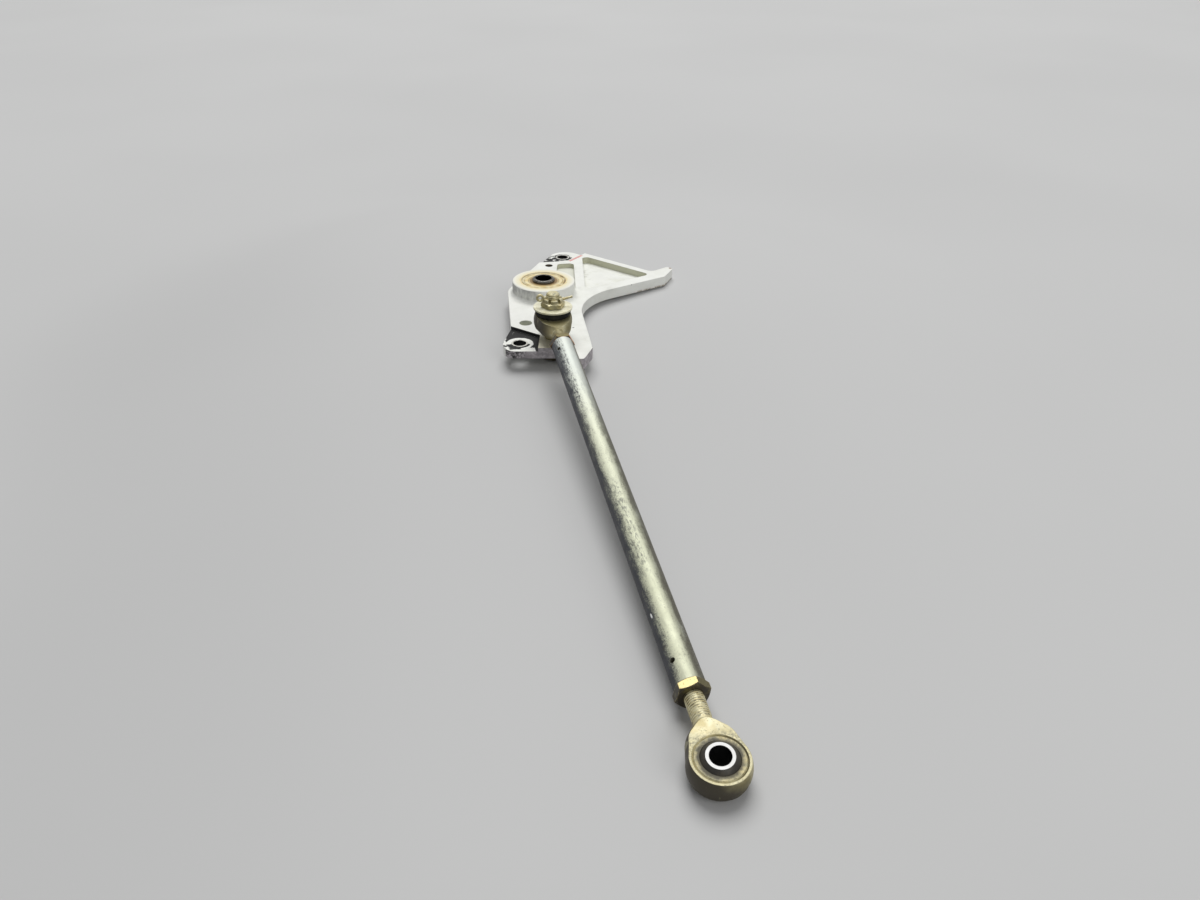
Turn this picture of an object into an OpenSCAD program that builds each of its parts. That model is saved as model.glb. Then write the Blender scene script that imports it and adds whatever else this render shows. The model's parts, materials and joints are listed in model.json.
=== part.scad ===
// Aircraft control bellcrank with its bolted-on push-pull rod. Units are millimetres.
// Frame: Z is the pivot axis and points up, Y runs along the rod from its free end to the crank,
// and the origin is on the pivot axis in the plane of the crank's underside.

/* [Crank plate] */
// Thickness of the crank plate
plate_t = 6.9; // [6:0.05:7.5]
// Thickness of the two thinned ears
ear_t = 4.7; // [4:0.05:5.2]
// Outer diameter of the bearing boss
boss_od = 42; // [40:0.5:46]
// Height of the boss above the plate
boss_h = 8.65; // [8:0.05:11]
// Radius of the fillet at the foot of the boss
boss_fillet = 2.6; // [1.5:0.1:2.9]
// Width of the plate's rim round the boss
rim_w = 3.2; // [3.1:0.1:5]
// Width of the ledge that carries the bearing
ledge_w = 2.2; // [1.5:0.1:3]

/* [Front arm] */
// Rod bolt, sideways from the pivot axis
throw_x = -6.7; // [-9:0.1:-5]
// Rod bolt, forward of the pivot axis
throw_y = 73.6; // [71:0.1:77]
// Left edge at its bend, sideways from the bolt
arm_left = 23.1; // [21:0.1:25]
// Bend of the left edge, back from the bolt
arm_bend = 20.6; // [18:0.1:23]
// Right edge level with the bolt, sideways from it
arm_right = 22.4; // [20.5:0.1:24]
// Lean of the right edge from the rod's line, degrees
edge_lean = 4.8; // [3:0.1:7]
// Front ear hole, sideways from the bolt
front_ear_x = 20.8; // [19.5:0.1:22]
// Front ear hole, forward of the bolt
front_ear_y = 1.4; // [0:0.1:3]
// Front edge, forward of the bolt level with the ear hole
front_edge = 11.5; // [11:0.1:13]
// Lean of the front edge, degrees
front_lean = 9.4; // [6:0.1:12]
// Round on the front ear's outer corner
front_corner_r = 8; // [6:0.1:9]
// Stop lug, forward of the bolt
lug_reach = 33.2; // [31:0.1:34]
// Left side of the stop lug, sideways from the bolt
lug_left = 8; // [7.4:0.1:9]
// Width of the stop lug's front face
lug_face = 4.6; // [3.5:0.1:6]
// Length of the stop lug's chamfered side along the rod's line
lug_chamfer = 14.2; // [12:0.1:16]
// Diameter of the tooling hole
tooling_hole_d = 8; // [6:0.1:9]
// Tooling hole, sideways from the bolt
tooling_x = 13.2; // [12.7:0.1:14]
// Tooling hole, back from the bolt
tooling_y = 24; // [23:0.1:26]

/* [Side arm] */
// Arm end, sideways from the pivot axis
arm_end_x = 89.6; // [85:0.1:94]
// Arm end, back from the pivot axis
arm_end_y = 15.3; // [13:0.1:17]
// Slope of the arm's front edge, degrees
arm_slope = 22; // [20:0.1:24]
// Radius in the corner between the front and side arms
inside_r = 46; // [40:0.5:50]
// Length of the arm's end face
end_face = 17.6; // [16:0.1:19]
// Direction of the arm's end face, degrees from the X axis
end_dir = 55; // [50:0.5:60]
// Width of the bent finger at the arm's end
finger_w = 5.4; // [4.5:0.1:6.5]
// Length of the bent finger
finger_len = 15.6; // [14:0.1:18]
// Direction of the bent finger, degrees from the X axis
finger_dir = 28.6; // [24:0.2:33]
// Radius in the notch behind the finger
notch_r = 5; // [3.5:0.1:6]
// Depth of the triangular pocket
web_pocket = 4.5; // [3.5:0.1:4.8]
// Width of the walls round the triangular pocket
web_wall = 5.4; // [4.5:0.1:6.2]
// Width of the wall along the arm's front edge
front_wall = 9; // [7.5:0.1:10]
// Corner radius of the pockets
pocket_r = 3.4; // [2.4:0.1:4]
// Width of the rib between the two pockets
rib_w = 6.6; // [5.5:0.1:7.5]
// Lean of the rib from the rod's line, degrees
rib_lean = 9.6; // [8:0.1:11]
// Rib's centre line where it passes the pivot, sideways from it
rib_x = 25.5; // [25:0.1:27]

/* [Rear ear] */
// Rear ear hole, sideways from the pivot axis
rear_ear_x = 26.3; // [25:0.1:28]
// Rear ear hole, back from the pivot axis
rear_ear_y = 71.8; // [69:0.1:75]
// Radius of the rear ear
rear_ear_r = 11.6; // [10.6:0.1:12.5]
// Centre of the rear ear's round, sideways from its hole
rear_ear_pad = 2.2; // [0:0.1:3]
// Radius of the front ear
front_ear_r = 10.2; // [9.4:0.1:11]
// Start of the rear ear's step, back from the pivot axis
rear_step_y = 58; // [57:0.1:60]
// Depth of the pocket beside the boss
side_pocket = 3.3; // [2.5:0.1:3.8]
// Diameter of the small hole behind the boss
rear_hole_d = 5.4; // [4:0.1:6]
// Small hole, sideways from the pivot axis
rear_hole_x = 12.4; // [11.5:0.1:13]
// Small hole, back from the pivot axis
rear_hole_y = 50.5; // [49:0.1:51.5]

/* [Bushes] */
// Bore of the ear bushes
bush_id = 8; // [7:0.05:8.5]
// Wall of the ear bushes
bush_wall = 1.1; // [0.8:0.05:1.6]
// Height of the bushes above the ears
bush_proud = 0.3; // [0.1:0.05:0.6]

/* [Pivot bearing] */
// Outer diameter of the bearing
bearing_od = 30; // [29:0.1:31]
// Width of the bearing
bearing_w = 9; // [8:0.1:10]
// Bearing face below the boss face
bearing_recess = 0.3; // [0.1:0.05:0.6]
// Diameter of the bearing balls
ball_d = 4.76; // [4.4:0.02:5]
// Thickness of the seals
seal_t = 0.8; // [0.5:0.05:1.1]
// Depth of the seals' seat in the outer ring
seal_seat = 0.9; // [0.6:0.05:1.1]
// Outer diameter of the pivot sleeve
sleeve_od = 15; // [14.4:0.05:15.6]
// Bore of the pivot sleeve
sleeve_id = 11.12; // [10.5:0.02:11.6]
// Height of the sleeve above the boss
sleeve_proud = 1.6; // [1.2:0.05:2.6]
// Length of the sleeve below the crank
sleeve_foot = 1.2; // [0.8:0.05:1.6]
// Chamfer on the sleeve's ends
sleeve_chamfer = 0.7; // [0.4:0.05:0.9]

/* [Rod ends] */
// Diameter of the rod ends' heads
head_d = 23.4; // [22.6:0.1:24]
// Width of the rod ends' heads
head_w = 8.56; // [8:0.02:9]
// Outer diameter of the races
race_od = 19; // [18.6:0.05:19.4]
// Width of the swivel balls
swivel_w = 13; // [12.4:0.05:13.4]
// Diameter of the swivel balls' end faces
swivel_flat = 10.5; // [10.2:0.05:10.8]
// Diameter of the rod bolt
thread_d = 7.94; // [7.6:0.02:8.2]
// Diameter of the rod ends' threads, between crest and root
stud_d = 7.4; // [7:0.05:7.8]
// Centre of the heads' round shoulder from the centre of the ball
shoulder_y = 7; // [6:0.1:8]
// Radius of the heads' round shoulder
shoulder_r = 9.9; // [9.4:0.1:10.4]
// Length of a rod end from the centre of its ball to its tip
rod_end_len = 47.6; // [45:0.1:50]
// End of the tapered neck from the centre of the ball
neck_len = 18.4; // [18:0.1:20]
// Chamfer at the staked joint of race and head
stake = 0.45; // [0.3:0.05:0.6]
// Tip of the loose near ball toward its front, degrees
near_ball_front = 4.6; // [0:0.1:6]
// Tip of the loose near ball toward its left, degrees
near_ball_left = 3.9; // [0:0.1:6]

/* [Push-pull rod] */
// Distance between the centres of the two swivel balls
rod_len = 325.5; // [310:0.1:340]
// Fall of the rod toward its free end at rest, degrees
rod_droop = 4.95; // [4:0.05:5.3]
// Outer diameter of the tube
tube_od = 12.7; // [12:0.05:13]
// Wall of the tube
tube_wall = 1.65; // [1.2:0.05:1.9]
// Far end of the tube from the centre of the far ball
tube_far = 32.7; // [31:0.1:35]
// Near end of the tube from the centre of the near ball
tube_near = 34.6; // [32:0.1:36]
// Length of the plugs beyond the rod ends' tips
plug_spare = 6; // [4:0.5:9]
// Diameter of the witness holes
witness_d = 2.4; // [1.8:0.1:2.8]
// Witness holes from the ends of the tube
witness_y = 10.5; // [9:0.5:13]
// Witness holes round from the top of the tube, degrees
witness_turn = 44; // [30:1:50]

/* [Fasteners] */
// Width across the flats of the nuts and the bolt's head
nut_af = 12.7; // [12.4:0.05:13]
// Thickness of the jam nuts
jam_t = 4; // [3.6:0.05:4.8]
// Thickness of the bolt's head
bolt_head_t = 5.16; // [4.6:0.02:5.6]
// Turn of the near jam nut on its thread, degrees
near_jam_turn = 20; // [0:1:30]
// Thickness of the small washers
small_washer_t = 1.2; // [1:0.05:1.6]
// Thickness of the large retaining washer
large_washer_t = 1; // [0.8:0.05:1.4]
// Outer diameter of the small washers
small_washer_od = 14.3; // [14:0.05:14.6]
// Outer diameter of the large retaining washer
large_washer_od = 23.5; // [22.5:0.1:24]
// Height of the spacer under the far ball
spacer_h = 4.9; // [4.5:0.05:5.5]
// Height of the castle nut's hexagon
castle_hex = 3.3; // [3:0.05:4.2]
// Height of the castle nut's slotted crown
castle_crown = 2.3; // [2.1:0.05:2.8]
// Diameter of the castle nut's crown
castle_d = 11.9; // [11:0.05:12.3]
// Width of the castle nut's slots
slot_w = 2; // [1.9:0.05:2.4]
// Length of bolt above the castle nut
bolt_stand = 3.2; // [2.8:0.1:4.5]
// Diameter of the cotter pin
cotter_d = 1.6; // [1.4:0.05:1.8]
// Length of the cotter pin's bent leg
cotter_leg = 5.2; // [4:0.1:6.5]
// Outer diameter of the rubber dust boot
boot_od = 21.6; // [21:0.1:22.4]
// Reach of the boot inside the swivel ball's outline
boot_lip = 0.5; // [0.3:0.05:0.6]

/* [Fits] */
// Radial clearance of the bolt and the threads in their holes
bolt_fit = 0.04; // [0.02:0.01:0.08]
// Clearance of parts that turn on each other
run_fit = 0.04; // [0.02:0.01:0.08]
// Clearance of the seals over the inner ring
seal_fit = 0.15; // [0.1:0.01:0.3]
// Clearance of the boot from the parts it seals
boot_fit = 0.05; // [0.03:0.01:0.1]

/* [Hidden] */
$fn = 96;
over = 1;
lap = 0.02;

bolt_at = [throw_x, -throw_y];
front_ear_at = bolt_at + [-front_ear_x, -front_ear_y];
rear_ear_at = [rear_ear_x, rear_ear_y];
rear_pad_at = rear_ear_at + [rear_ear_pad, 0];
boss_top = plate_t + boss_h;
rim_r = boss_od / 2 + rim_w;
bush_od = bush_id + 2 * bush_wall;

bearing_z1 = boss_top - bearing_recess;
bearing_z0 = bearing_z1 - bearing_w;
bearing_mid = (bearing_z0 + bearing_z1) / 2;
pitch_r = (bearing_od + sleeve_od) / 4;
inner_r = pitch_r - 0.22 * ball_d;
outer_r = pitch_r + 0.22 * ball_d;
ball_count = floor(180 / asin((ball_d + 0.1) / (2 * pitch_r)));
ledge_r = bearing_od / 2 - ledge_w;

hole_r = thread_d / 2 + bolt_fit;
stud_hole_r = stud_d / 2 + bolt_fit;
swivel_r = norm([swivel_w, swivel_flat]) / 2;
rod_z = plate_t + spacer_h + swivel_w / 2;
thin_z = rod_z + swivel_w / 2;
large_z = thin_z + small_washer_t;
castle_z = large_z + large_washer_t;
castle_top = castle_z + castle_hex + castle_crown;
bolt_top = castle_top + bolt_stand;
slot_z = castle_z + castle_hex + 0.15;
cotter_z = slot_z + cotter_d / 2 + 0.15;
tube_id = tube_od - 2 * tube_wall;
tube_len = rod_len - tube_far - tube_near;
far_plug_len = rod_end_len - tube_far + plug_spare;
near_plug_len = rod_end_len - tube_near + plug_spare;

// Cones of a rod end's head: from the ball to the shoulder, and from the shoulder to the thread;
// each starts and ends just inside the round that it leaves or meets
head_lean = asin((head_d / 2 - shoulder_r) / shoulder_y);
cheek_y0 = head_d / 2 * sin(head_lean) - 0.8;
cheek_y1 = shoulder_y + shoulder_r * sin(head_lean) + 0.8;
cheek_r0 = sqrt(head_d * head_d / 4 - cheek_y0 * cheek_y0) - 0.03;
cheek_r1 = sqrt(shoulder_r * shoulder_r - pow(cheek_y1 - shoulder_y, 2)) - 0.03;
neck_v = [neck_len - shoulder_y, stud_d / 2];
neck_a = atan2(neck_v[1], neck_v[0]) + acos(shoulder_r / norm(neck_v)) + 8;
neck_y = shoulder_y + shoulder_r * cos(neck_a);
neck_r = shoulder_r * sin(neck_a) - 0.03;
neck_k = (neck_r - stud_d / 2) / (neck_len - neck_y);

function unit(v) = v / norm(v);
function dir(a) = [cos(a), sin(a)];
function xy(p) = [p[0], p[1]];
// Place where the line through a along u meets the line through b along v
function meet(a, u, b, v) = a + u * ((b - a)[0] * v[1] - (b - a)[1] * v[0]) / (u[0] * v[1] - u[1] * v[0]);
// Corner whose rounding of radius r about c touches the circle between angles a and b
function pole(c, r, a, b) = c + dir((a + b) / 2) * r / cos((b - a) / 2);
// Angle at which a line from p touches the circle of radius r about c; s picks the side
function touch(p, c, r, s) = atan2((p - c)[1], (p - c)[0]) + s * acos(r / norm(p - c));
function corner(p, r) = [p[0], p[1], r];
function before(p, i) = unit(xy(p[(i + len(p) - 1) % len(p)]) - xy(p[i]));
function after(p, i) = unit(xy(p[(i + 1) % len(p)]) - xy(p[i]));
function half(p, i) = acos(before(p, i) * after(p, i)) / 2;
function bulges(p, i) = after(p, i)[0] * before(p, i)[1] - after(p, i)[1] * before(p, i)[0] > 0;
function run(p, i) = p[i][2] / tan(half(p, i));
function hub(p, i) = xy(p[i]) + unit(before(p, i) + after(p, i)) * p[i][2] / sin(half(p, i));

// Outline with true round corners: p lists the corners, each as x, y and radius, and the
// small lap lets each round cut its two edges cleanly
module outline(p) {
    difference() {
        union() {
            polygon([for (i = [0 : len(p) - 1]) each [xy(p[i]) + before(p, i) * run(p, i),
                xy(p[i]) + after(p, i) * run(p, i)]]);
            for (i = [0 : len(p) - 1]) if (bulges(p, i)) translate(hub(p, i)) circle(p[i][2] + lap);
        }
        for (i = [0 : len(p) - 1]) if (!bulges(p, i)) translate(hub(p, i)) circle(p[i][2] + lap);
    }
}

// Corners of the crank, found from the ears, the boss and the arm
front_u = dir(-front_lean);
front_p = front_ear_at + [0, -front_edge];
right_p = bolt_at + [arm_right, 0];
right_u = dir(90 - edge_lean);
bend_p = bolt_at + [-arm_left, arm_bend];
arm_p = [arm_end_x, arm_end_y];
arm_u = dir(arm_slope);
tip_p = arm_p + end_face * dir(end_dir);
claw_p = tip_p + finger_w * dir(finger_dir + 96);
notch_p = claw_p - finger_len * dir(finger_dir);
lug_p = bolt_at + [lug_left, -lug_reach];
lug_q = lug_p + lug_face * front_u;
ear_a = touch(notch_p, rear_pad_at, rear_ear_r, 1);
ear_b = atan2(rear_pad_at[1], rear_pad_at[0]) + 90 - asin((rim_r - rear_ear_r) / norm(rear_pad_at));
rim_b = touch(bend_p, [0, 0], rim_r, -1) + 360;
front_b = touch(bend_p, front_ear_at, front_ear_r, 1);

crank = [
    corner(meet(front_ear_at + [-front_ear_r, 0], [0, 1], front_p, front_u), front_corner_r),
    corner(meet(front_p, front_u, lug_p + [-2, 0], [0, 1]), 3),
    corner(lug_p, 1.5),
    corner(lug_q, 1.5),
    corner(meet(right_p, right_u, lug_q + [0, lug_chamfer], [1, 0]), 2),
    corner(meet(right_p, right_u, arm_p, arm_u), inside_r),
    corner(arm_p, 3),
    corner(tip_p, 2),
    corner(claw_p, 1.5),
    corner(notch_p, notch_r),
    corner(pole(rear_pad_at, rear_ear_r, ear_a, ear_b), rear_ear_r),
    corner(pole([0, 0], rim_r, ear_b, rim_b), rim_r),
    corner(bend_p, 3),
    corner(pole(front_ear_at, front_ear_r, front_b, 180), front_ear_r)];

// Step of the front ear: across the arm at the bend, then forward past the hole
step_p = bolt_at + [-7.3, 4.2];
front_step = [bend_p + [-20, 10], bend_p, step_p, step_p + [-4.6, -19.5], front_ear_at + [4, -40],
    front_ear_at + [-30, -40]];
// Step of the rear ear: along the back of the boss, then out to the arm's edge
rear_k = [rear_ear_x + 1.8, rear_step_y];
rear_step = [[-20, rear_step_y], rear_k, rear_k + 40 * dir(43), rear_ear_at + [0, 60], [-20, rear_ear_y]];

// Pocket in the side arm, parallel to the rib, the front edge and the back edge
rib_u = dir(90 - rib_lean);
rib_n = [rib_u[1], -rib_u[0]];
back_u = unit(notch_p - (rear_pad_at + rear_ear_r * dir(ear_a)));
back_n = [back_u[1], -back_u[0]];
web_a = [rib_x, 0] + rib_n * rib_w / 2;
web_b = arm_p + front_wall * dir(arm_slope + 90);
web_c = notch_p + back_n * web_wall;
web = [
    corner(meet(web_a, rib_u, web_b, arm_u), pocket_r),
    corner(meet(web_b, arm_u, web_c, back_u), pocket_r),
    corner(meet(web_c, back_u, web_a, rib_u), pocket_r)];
// Pocket between the boss and the rib
side_a = [rib_x, 0] - rib_n * rib_w / 2;
side = [
    corner(meet(side_a, rib_u, [0, -boss_od / 4], [1, 0]), pocket_r / 2),
    corner(meet(side_a, rib_u, [0, rear_step_y - web_wall], [1, 0]), pocket_r),
    corner([rear_hole_x + 6.6, rear_step_y - web_wall], pocket_r),
    corner([boss_od / 4, boss_od / 3], pocket_r)];

module crank_plate() {
    color("#e6e8e2")
    difference() {
        union() {
            difference() {
                linear_extrude(plate_t) outline(crank);
                translate([0, 0, ear_t]) linear_extrude(plate_t) polygon(front_step);
                translate([0, 0, ear_t]) linear_extrude(plate_t) polygon(rear_step);
                translate([0, 0, plate_t - web_pocket]) linear_extrude(plate_t) outline(web);
                translate([0, 0, plate_t - side_pocket]) linear_extrude(plate_t) outline(side);
            }
            boss();
        }
        translate([0, 0, bearing_z0]) cylinder(d = bearing_od, h = bearing_w + boss_h);
        translate([0, 0, -over]) cylinder(r = ledge_r, h = bearing_z0 + 2 * over);
        translate([bolt_at[0], bolt_at[1], -over]) cylinder(r = hole_r, h = plate_t + 2 * over);
        for (p = [front_ear_at, rear_ear_at])
            translate([p[0], p[1], -over]) cylinder(d = bush_od, h = plate_t + 2 * over);
        translate([throw_x - tooling_x, tooling_y - throw_y, -over])
            cylinder(d = tooling_hole_d, h = plate_t + 2 * over);
        translate([rear_hole_x, rear_hole_y, -over]) cylinder(d = rear_hole_d, h = plate_t + 2 * over);
    }
}

// Boss with a fillet at its foot and a small chamfer at its top
module boss() {
    r = boss_od / 2;
    rotate_extrude()
        difference() {
            polygon([[0, plate_t - side_pocket], [r + boss_fillet, plate_t - side_pocket],
                [r + boss_fillet, plate_t], [r, plate_t + boss_fillet],
                [r, boss_top - 0.5], [r - 0.5, boss_top], [0, boss_top]]);
            translate([r + boss_fillet - 0.15, plate_t + boss_fillet - 0.15]) circle(boss_fillet);
        }
}

module ear_bush(p) {
    translate([p[0], p[1], 0])
        difference() {
            cylinder(d = bush_od, h = ear_t + bush_proud);
            translate([0, 0, -over]) cylinder(d = bush_id, h = ear_t + 3 * over);
        }
}

module front_ear_bush() {
    color("#8f8b7a") ear_bush(front_ear_at);
}

module rear_ear_bush() {
    color("#8f8b7a") ear_bush(rear_ear_at);
}

// Ball groove common to both bearing rings
module ball_groove() {
    translate([pitch_r, bearing_mid]) circle(ball_d / 2 + run_fit);
}

module bearing_outer_ring() {
    color("#c9b064")
    rotate_extrude()
        difference() {
            translate([outer_r, bearing_z0]) square([bearing_od / 2 - outer_r, bearing_w]);
            ball_groove();
            translate([0, bearing_z1 - seal_t]) square([outer_r + seal_seat, seal_t + over]);
            translate([0, bearing_z0 - over]) square([outer_r + seal_seat, seal_t + over]);
        }
}

module bearing_inner_ring() {
    color("#b9a05a")
    rotate_extrude()
        difference() {
            translate([sleeve_od / 2, bearing_z0]) square([inner_r - sleeve_od / 2, bearing_w]);
            ball_groove();
        }
}

module bearing_balls() {
    color("#c8ccd0")
    for (i = [0 : ball_count - 1])
        rotate([0, 0, i * 360 / ball_count])
            translate([pitch_r, 0, bearing_mid]) sphere(d = ball_d);
}

module seal(z) {
    translate([0, 0, z])
        difference() {
            cylinder(r = outer_r + seal_seat, h = seal_t);
            translate([0, 0, -over]) cylinder(r = inner_r + seal_fit, h = seal_t + 2 * over);
        }
}

module upper_seal() {
    color("#d8c06a") seal(bearing_z1 - seal_t);
}

module lower_seal() {
    color("#d8c06a") seal(bearing_z0);
}

module pivot_sleeve() {
    z1 = boss_top + sleeve_proud;
    r = sleeve_od / 2;
    c = sleeve_chamfer;
    color("#4c4a46")
    rotate_extrude()
        polygon([[sleeve_id / 2, -sleeve_foot], [r - c, -sleeve_foot], [r, c - sleeve_foot],
            [r, z1 - c], [r - c, z1], [sleeve_id / 2, z1]]);
}

// Hexagon with its corners turned off at both faces, standing on the XY plane
module hexagon(h) {
    r = nut_af / 2 / cos(30);
    k = (r - nut_af / 2 * 0.97) * tan(30);
    intersection() {
        cylinder(r = r, h = h, $fn = 6);
        rotate_extrude()
            polygon([[0, 0], [nut_af / 2 * 0.97, 0], [r, k], [r, h - k], [nut_af / 2 * 0.97, h], [0, h]]);
    }
}

module washer(d, h, z) {
    translate([bolt_at[0], bolt_at[1], z])
        difference() {
            cylinder(d = d, h = h);
            translate([0, 0, -over]) cylinder(r = hole_r, h = h + 2 * over);
        }
}

module rod_bolt() {
    color("#c2ab5c")
    translate([bolt_at[0], bolt_at[1], 0])
        difference() {
            union() {
                translate([0, 0, -small_washer_t - bolt_head_t]) hexagon(bolt_head_t);
                translate([0, 0, -small_washer_t - over])
                    cylinder(d = thread_d, h = small_washer_t + over + bolt_top - 0.8);
                translate([0, 0, bolt_top - 0.8]) cylinder(d1 = thread_d, d2 = thread_d - 1.6, h = 0.8);
            }
            translate([0, 0, cotter_z]) rotate([0, 90, 0])
                cylinder(d = cotter_d + 2 * bolt_fit, h = 2 * thread_d, center = true);
        }
}

module bolt_head_washer() {
    color("#bda95f") washer(small_washer_od, small_washer_t, -small_washer_t);
}

module ball_spacer() {
    color("#bda95f")
    translate([bolt_at[0], bolt_at[1], plate_t])
        difference() {
            cylinder(d = swivel_flat, h = spacer_h);
            translate([0, 0, -over]) cylinder(r = hole_r, h = spacer_h + 2 * over);
        }
}

// Swivel ball with flat ends and a bolt hole, centred on the origin
module swivel() {
    difference() {
        intersection() {
            sphere(swivel_r);
            cylinder(r = swivel_r + over, h = swivel_w, center = true);
        }
        cylinder(r = hole_r, h = swivel_w + 2 * over, center = true);
    }
}

// Race that holds the ball, with a turned-off outer edge at each face
module race() {
    r = race_od / 2;
    h = head_w / 2;
    difference() {
        rotate_extrude()
            polygon([[0, -h], [r - stake, -h], [r, stake - h], [r, h - stake], [r - stake, h], [0, h]]);
        sphere(swivel_r + run_fit);
    }
}

// Rod end with its ball centre at the origin and its thread toward -Y: a turned ball, shoulder
// and tapered neck, milled flat on both sides
module rod_end() {
    r = race_od / 2;
    h = head_w / 2;
    difference() {
        union() {
            intersection() {
                union() {
                    sphere(d = head_d);
                    translate([0, -shoulder_y, 0]) sphere(shoulder_r);
                    rotate([90, 0, 0]) {
                        translate([0, 0, cheek_y0])
                            cylinder(r1 = cheek_r0, r2 = cheek_r1, h = cheek_y1 - cheek_y0);
                        translate([0, 0, neck_y])
                            cylinder(r1 = neck_r, r2 = stud_d / 2 - neck_k, h = neck_len - neck_y + 1);
                    }
                }
                cube([4 * neck_len, 4 * neck_len, head_w], center = true);
            }
            rotate([90, 0, 0]) {
                translate([0, 0, neck_len - 3]) cylinder(d = stud_d, h = rod_end_len - neck_len + 2);
                translate([0, 0, rod_end_len - 1]) cylinder(d1 = stud_d, d2 = stud_d - 1.6, h = 1);
            }
        }
        cylinder(r = r, h = 4 * head_w, center = true);
        for (m = [0, 1]) mirror([0, 0, m]) translate([0, 0, h - stake])
            cylinder(r1 = r, r2 = r + stake + over, h = stake + over);
    }
}

// Jam nut against the end of the tube, which is y from the ball
module jam_nut(y) {
    rotate([90, 0, 0]) translate([0, 0, y - jam_t])
        difference() {
            hexagon(jam_t);
            translate([0, 0, -over]) cylinder(r = stud_hole_r, h = jam_t + 2 * over);
        }
}

// Hole that shows how far the rod end is screwed in; y from the far ball
module witness(y) {
    translate([0, -y, 0]) rotate([0, -witness_turn, 0]) cylinder(d = witness_d, h = tube_od);
}

// Threaded plug of length n in the tube, starting at y from the far ball
module plug(y, n) {
    rotate([90, 0, 0]) translate([0, 0, y])
        difference() {
            cylinder(d = tube_id, h = n);
            translate([0, 0, -over]) cylinder(r = stud_hole_r, h = n + 2 * over);
        }
}

// Carries its children from the rod's own frame to the crank's
module on_rod() {
    translate([bolt_at[0], bolt_at[1], rod_z]) rotate([rod_droop, 0, 0]) children();
}

// Carries its children to the rod's free end, turned the other way round
module at_near() {
    on_rod() translate([0, -rod_len, 0]) rotate([0, 0, 180]) children();
}

module far_ball() {
    color("#cfd2d4") translate([bolt_at[0], bolt_at[1], rod_z]) swivel();
}

module thin_washer() {
    color("#bda95f") washer(small_washer_od, small_washer_t, thin_z);
}

module retaining_washer() {
    color("#d3be78") washer(large_washer_od, large_washer_t, large_z);
}

// Rubber ring between the retaining washer and the head; its lower face leans with the rod
module dust_boot() {
    color("#1d1c1a")
    difference() {
        translate([bolt_at[0], bolt_at[1], rod_z])
            difference() {
                cylinder(d = boot_od, h = large_z - rod_z - boot_fit);
                translate([0, 0, -over])
                    cylinder(r = swivel_r - boot_lip, h = large_z - rod_z + 2 * over);
            }
        on_rod() translate([0, 0, head_w / 2 + boot_fit - head_d])
            cube(2 * head_d, center = true);
    }
}

module castle_nut() {
    color("#c9b25e")
    translate([bolt_at[0], bolt_at[1], castle_z])
        difference() {
            union() {
                hexagon(castle_hex);
                cylinder(d = castle_d, h = castle_hex + castle_crown - 0.5);
                translate([0, 0, castle_hex + castle_crown - 0.5])
                    cylinder(d1 = castle_d, d2 = castle_d - 1, h = 0.5);
            }
            translate([0, 0, -over]) cylinder(r = hole_r, h = castle_hex + castle_crown + 2 * over);
            for (a = [0, 60, 120]) rotate([0, 0, a])
                translate([-nut_af, -slot_w / 2, slot_z - castle_z])
                    cube([2 * nut_af, slot_w, castle_crown + over]);
        }
}

// Split pin through the nut and the bolt: eye on the left, legs bent on the right
module cotter_pin() {
    r = cotter_d / 2;
    x = castle_d / 2 + r + 0.2;
    eye = 1.7;
    color("#c4ad62")
    translate([bolt_at[0], bolt_at[1], cotter_z]) {
        translate([-x, 0, 0]) rotate([0, 90, 0]) cylinder(r = r, h = 2 * x);
        translate([-x - eye * cos(60), 0, eye * sin(60)]) rotate([90, 0, 0])
            rotate_extrude() translate([eye, 0]) circle(r * 0.95);
        translate([x, 0, 0]) {
            sphere(r);
            rotate([0, 76, -4]) cylinder(r = r * 0.9, h = cotter_leg);
        }
    }
}

module far_rod_end() {
    color("#c8b66e") on_rod() rod_end();
}

module far_race() {
    color("#b9b39a") on_rod() race();
}

module far_jam_nut() {
    color("#c98a4a") on_rod() jam_nut(tube_far);
}

module far_tube_plug() {
    color("#a3a69c")
    on_rod() difference() {
        plug(tube_far, far_plug_len);
        witness(tube_far + witness_y);
    }
}

module pushrod_tube() {
    color("#aab0a2")
    on_rod() difference() {
        rotate([90, 0, 0]) translate([0, 0, tube_far])
            difference() {
                cylinder(d = tube_od, h = tube_len);
                translate([0, 0, -over]) cylinder(d = tube_id, h = tube_len + 2 * over);
            }
        witness(tube_far + witness_y);
        witness(tube_far + tube_len - witness_y);
    }
}

module near_tube_plug() {
    color("#a3a69c")
    on_rod() difference() {
        plug(tube_far + tube_len - near_plug_len, near_plug_len);
        witness(tube_far + tube_len - witness_y);
    }
}

module near_jam_nut() {
    color("#d0b24f") at_near() rotate([0, near_jam_turn, 0]) jam_nut(tube_near);
}

module near_rod_end() {
    color("#c8b66e") at_near() rod_end();
}

module near_race() {
    color("#b9b39a") at_near() race();
}

module near_ball() {
    color("#d6d8da")
    on_rod() translate([0, -rod_len, 0]) rotate([near_ball_front, -near_ball_left, 0]) swivel();
}

crank_plate();
front_ear_bush();
rear_ear_bush();
bearing_outer_ring();
bearing_inner_ring();
bearing_balls();
upper_seal();
lower_seal();
pivot_sleeve();
rod_bolt();
bolt_head_washer();
ball_spacer();
far_ball();
thin_washer();
dust_boot();
retaining_washer();
castle_nut();
cotter_pin();
far_rod_end();
far_race();
far_jam_nut();
far_tube_plug();
pushrod_tube();
near_tube_plug();
near_jam_nut();
near_rod_end();
near_race();
near_ball();
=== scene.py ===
"""Finishes, threads, dust boot and studio for an aircraft control bellcrank with its push-pull rod."""

import json
import math

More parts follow.
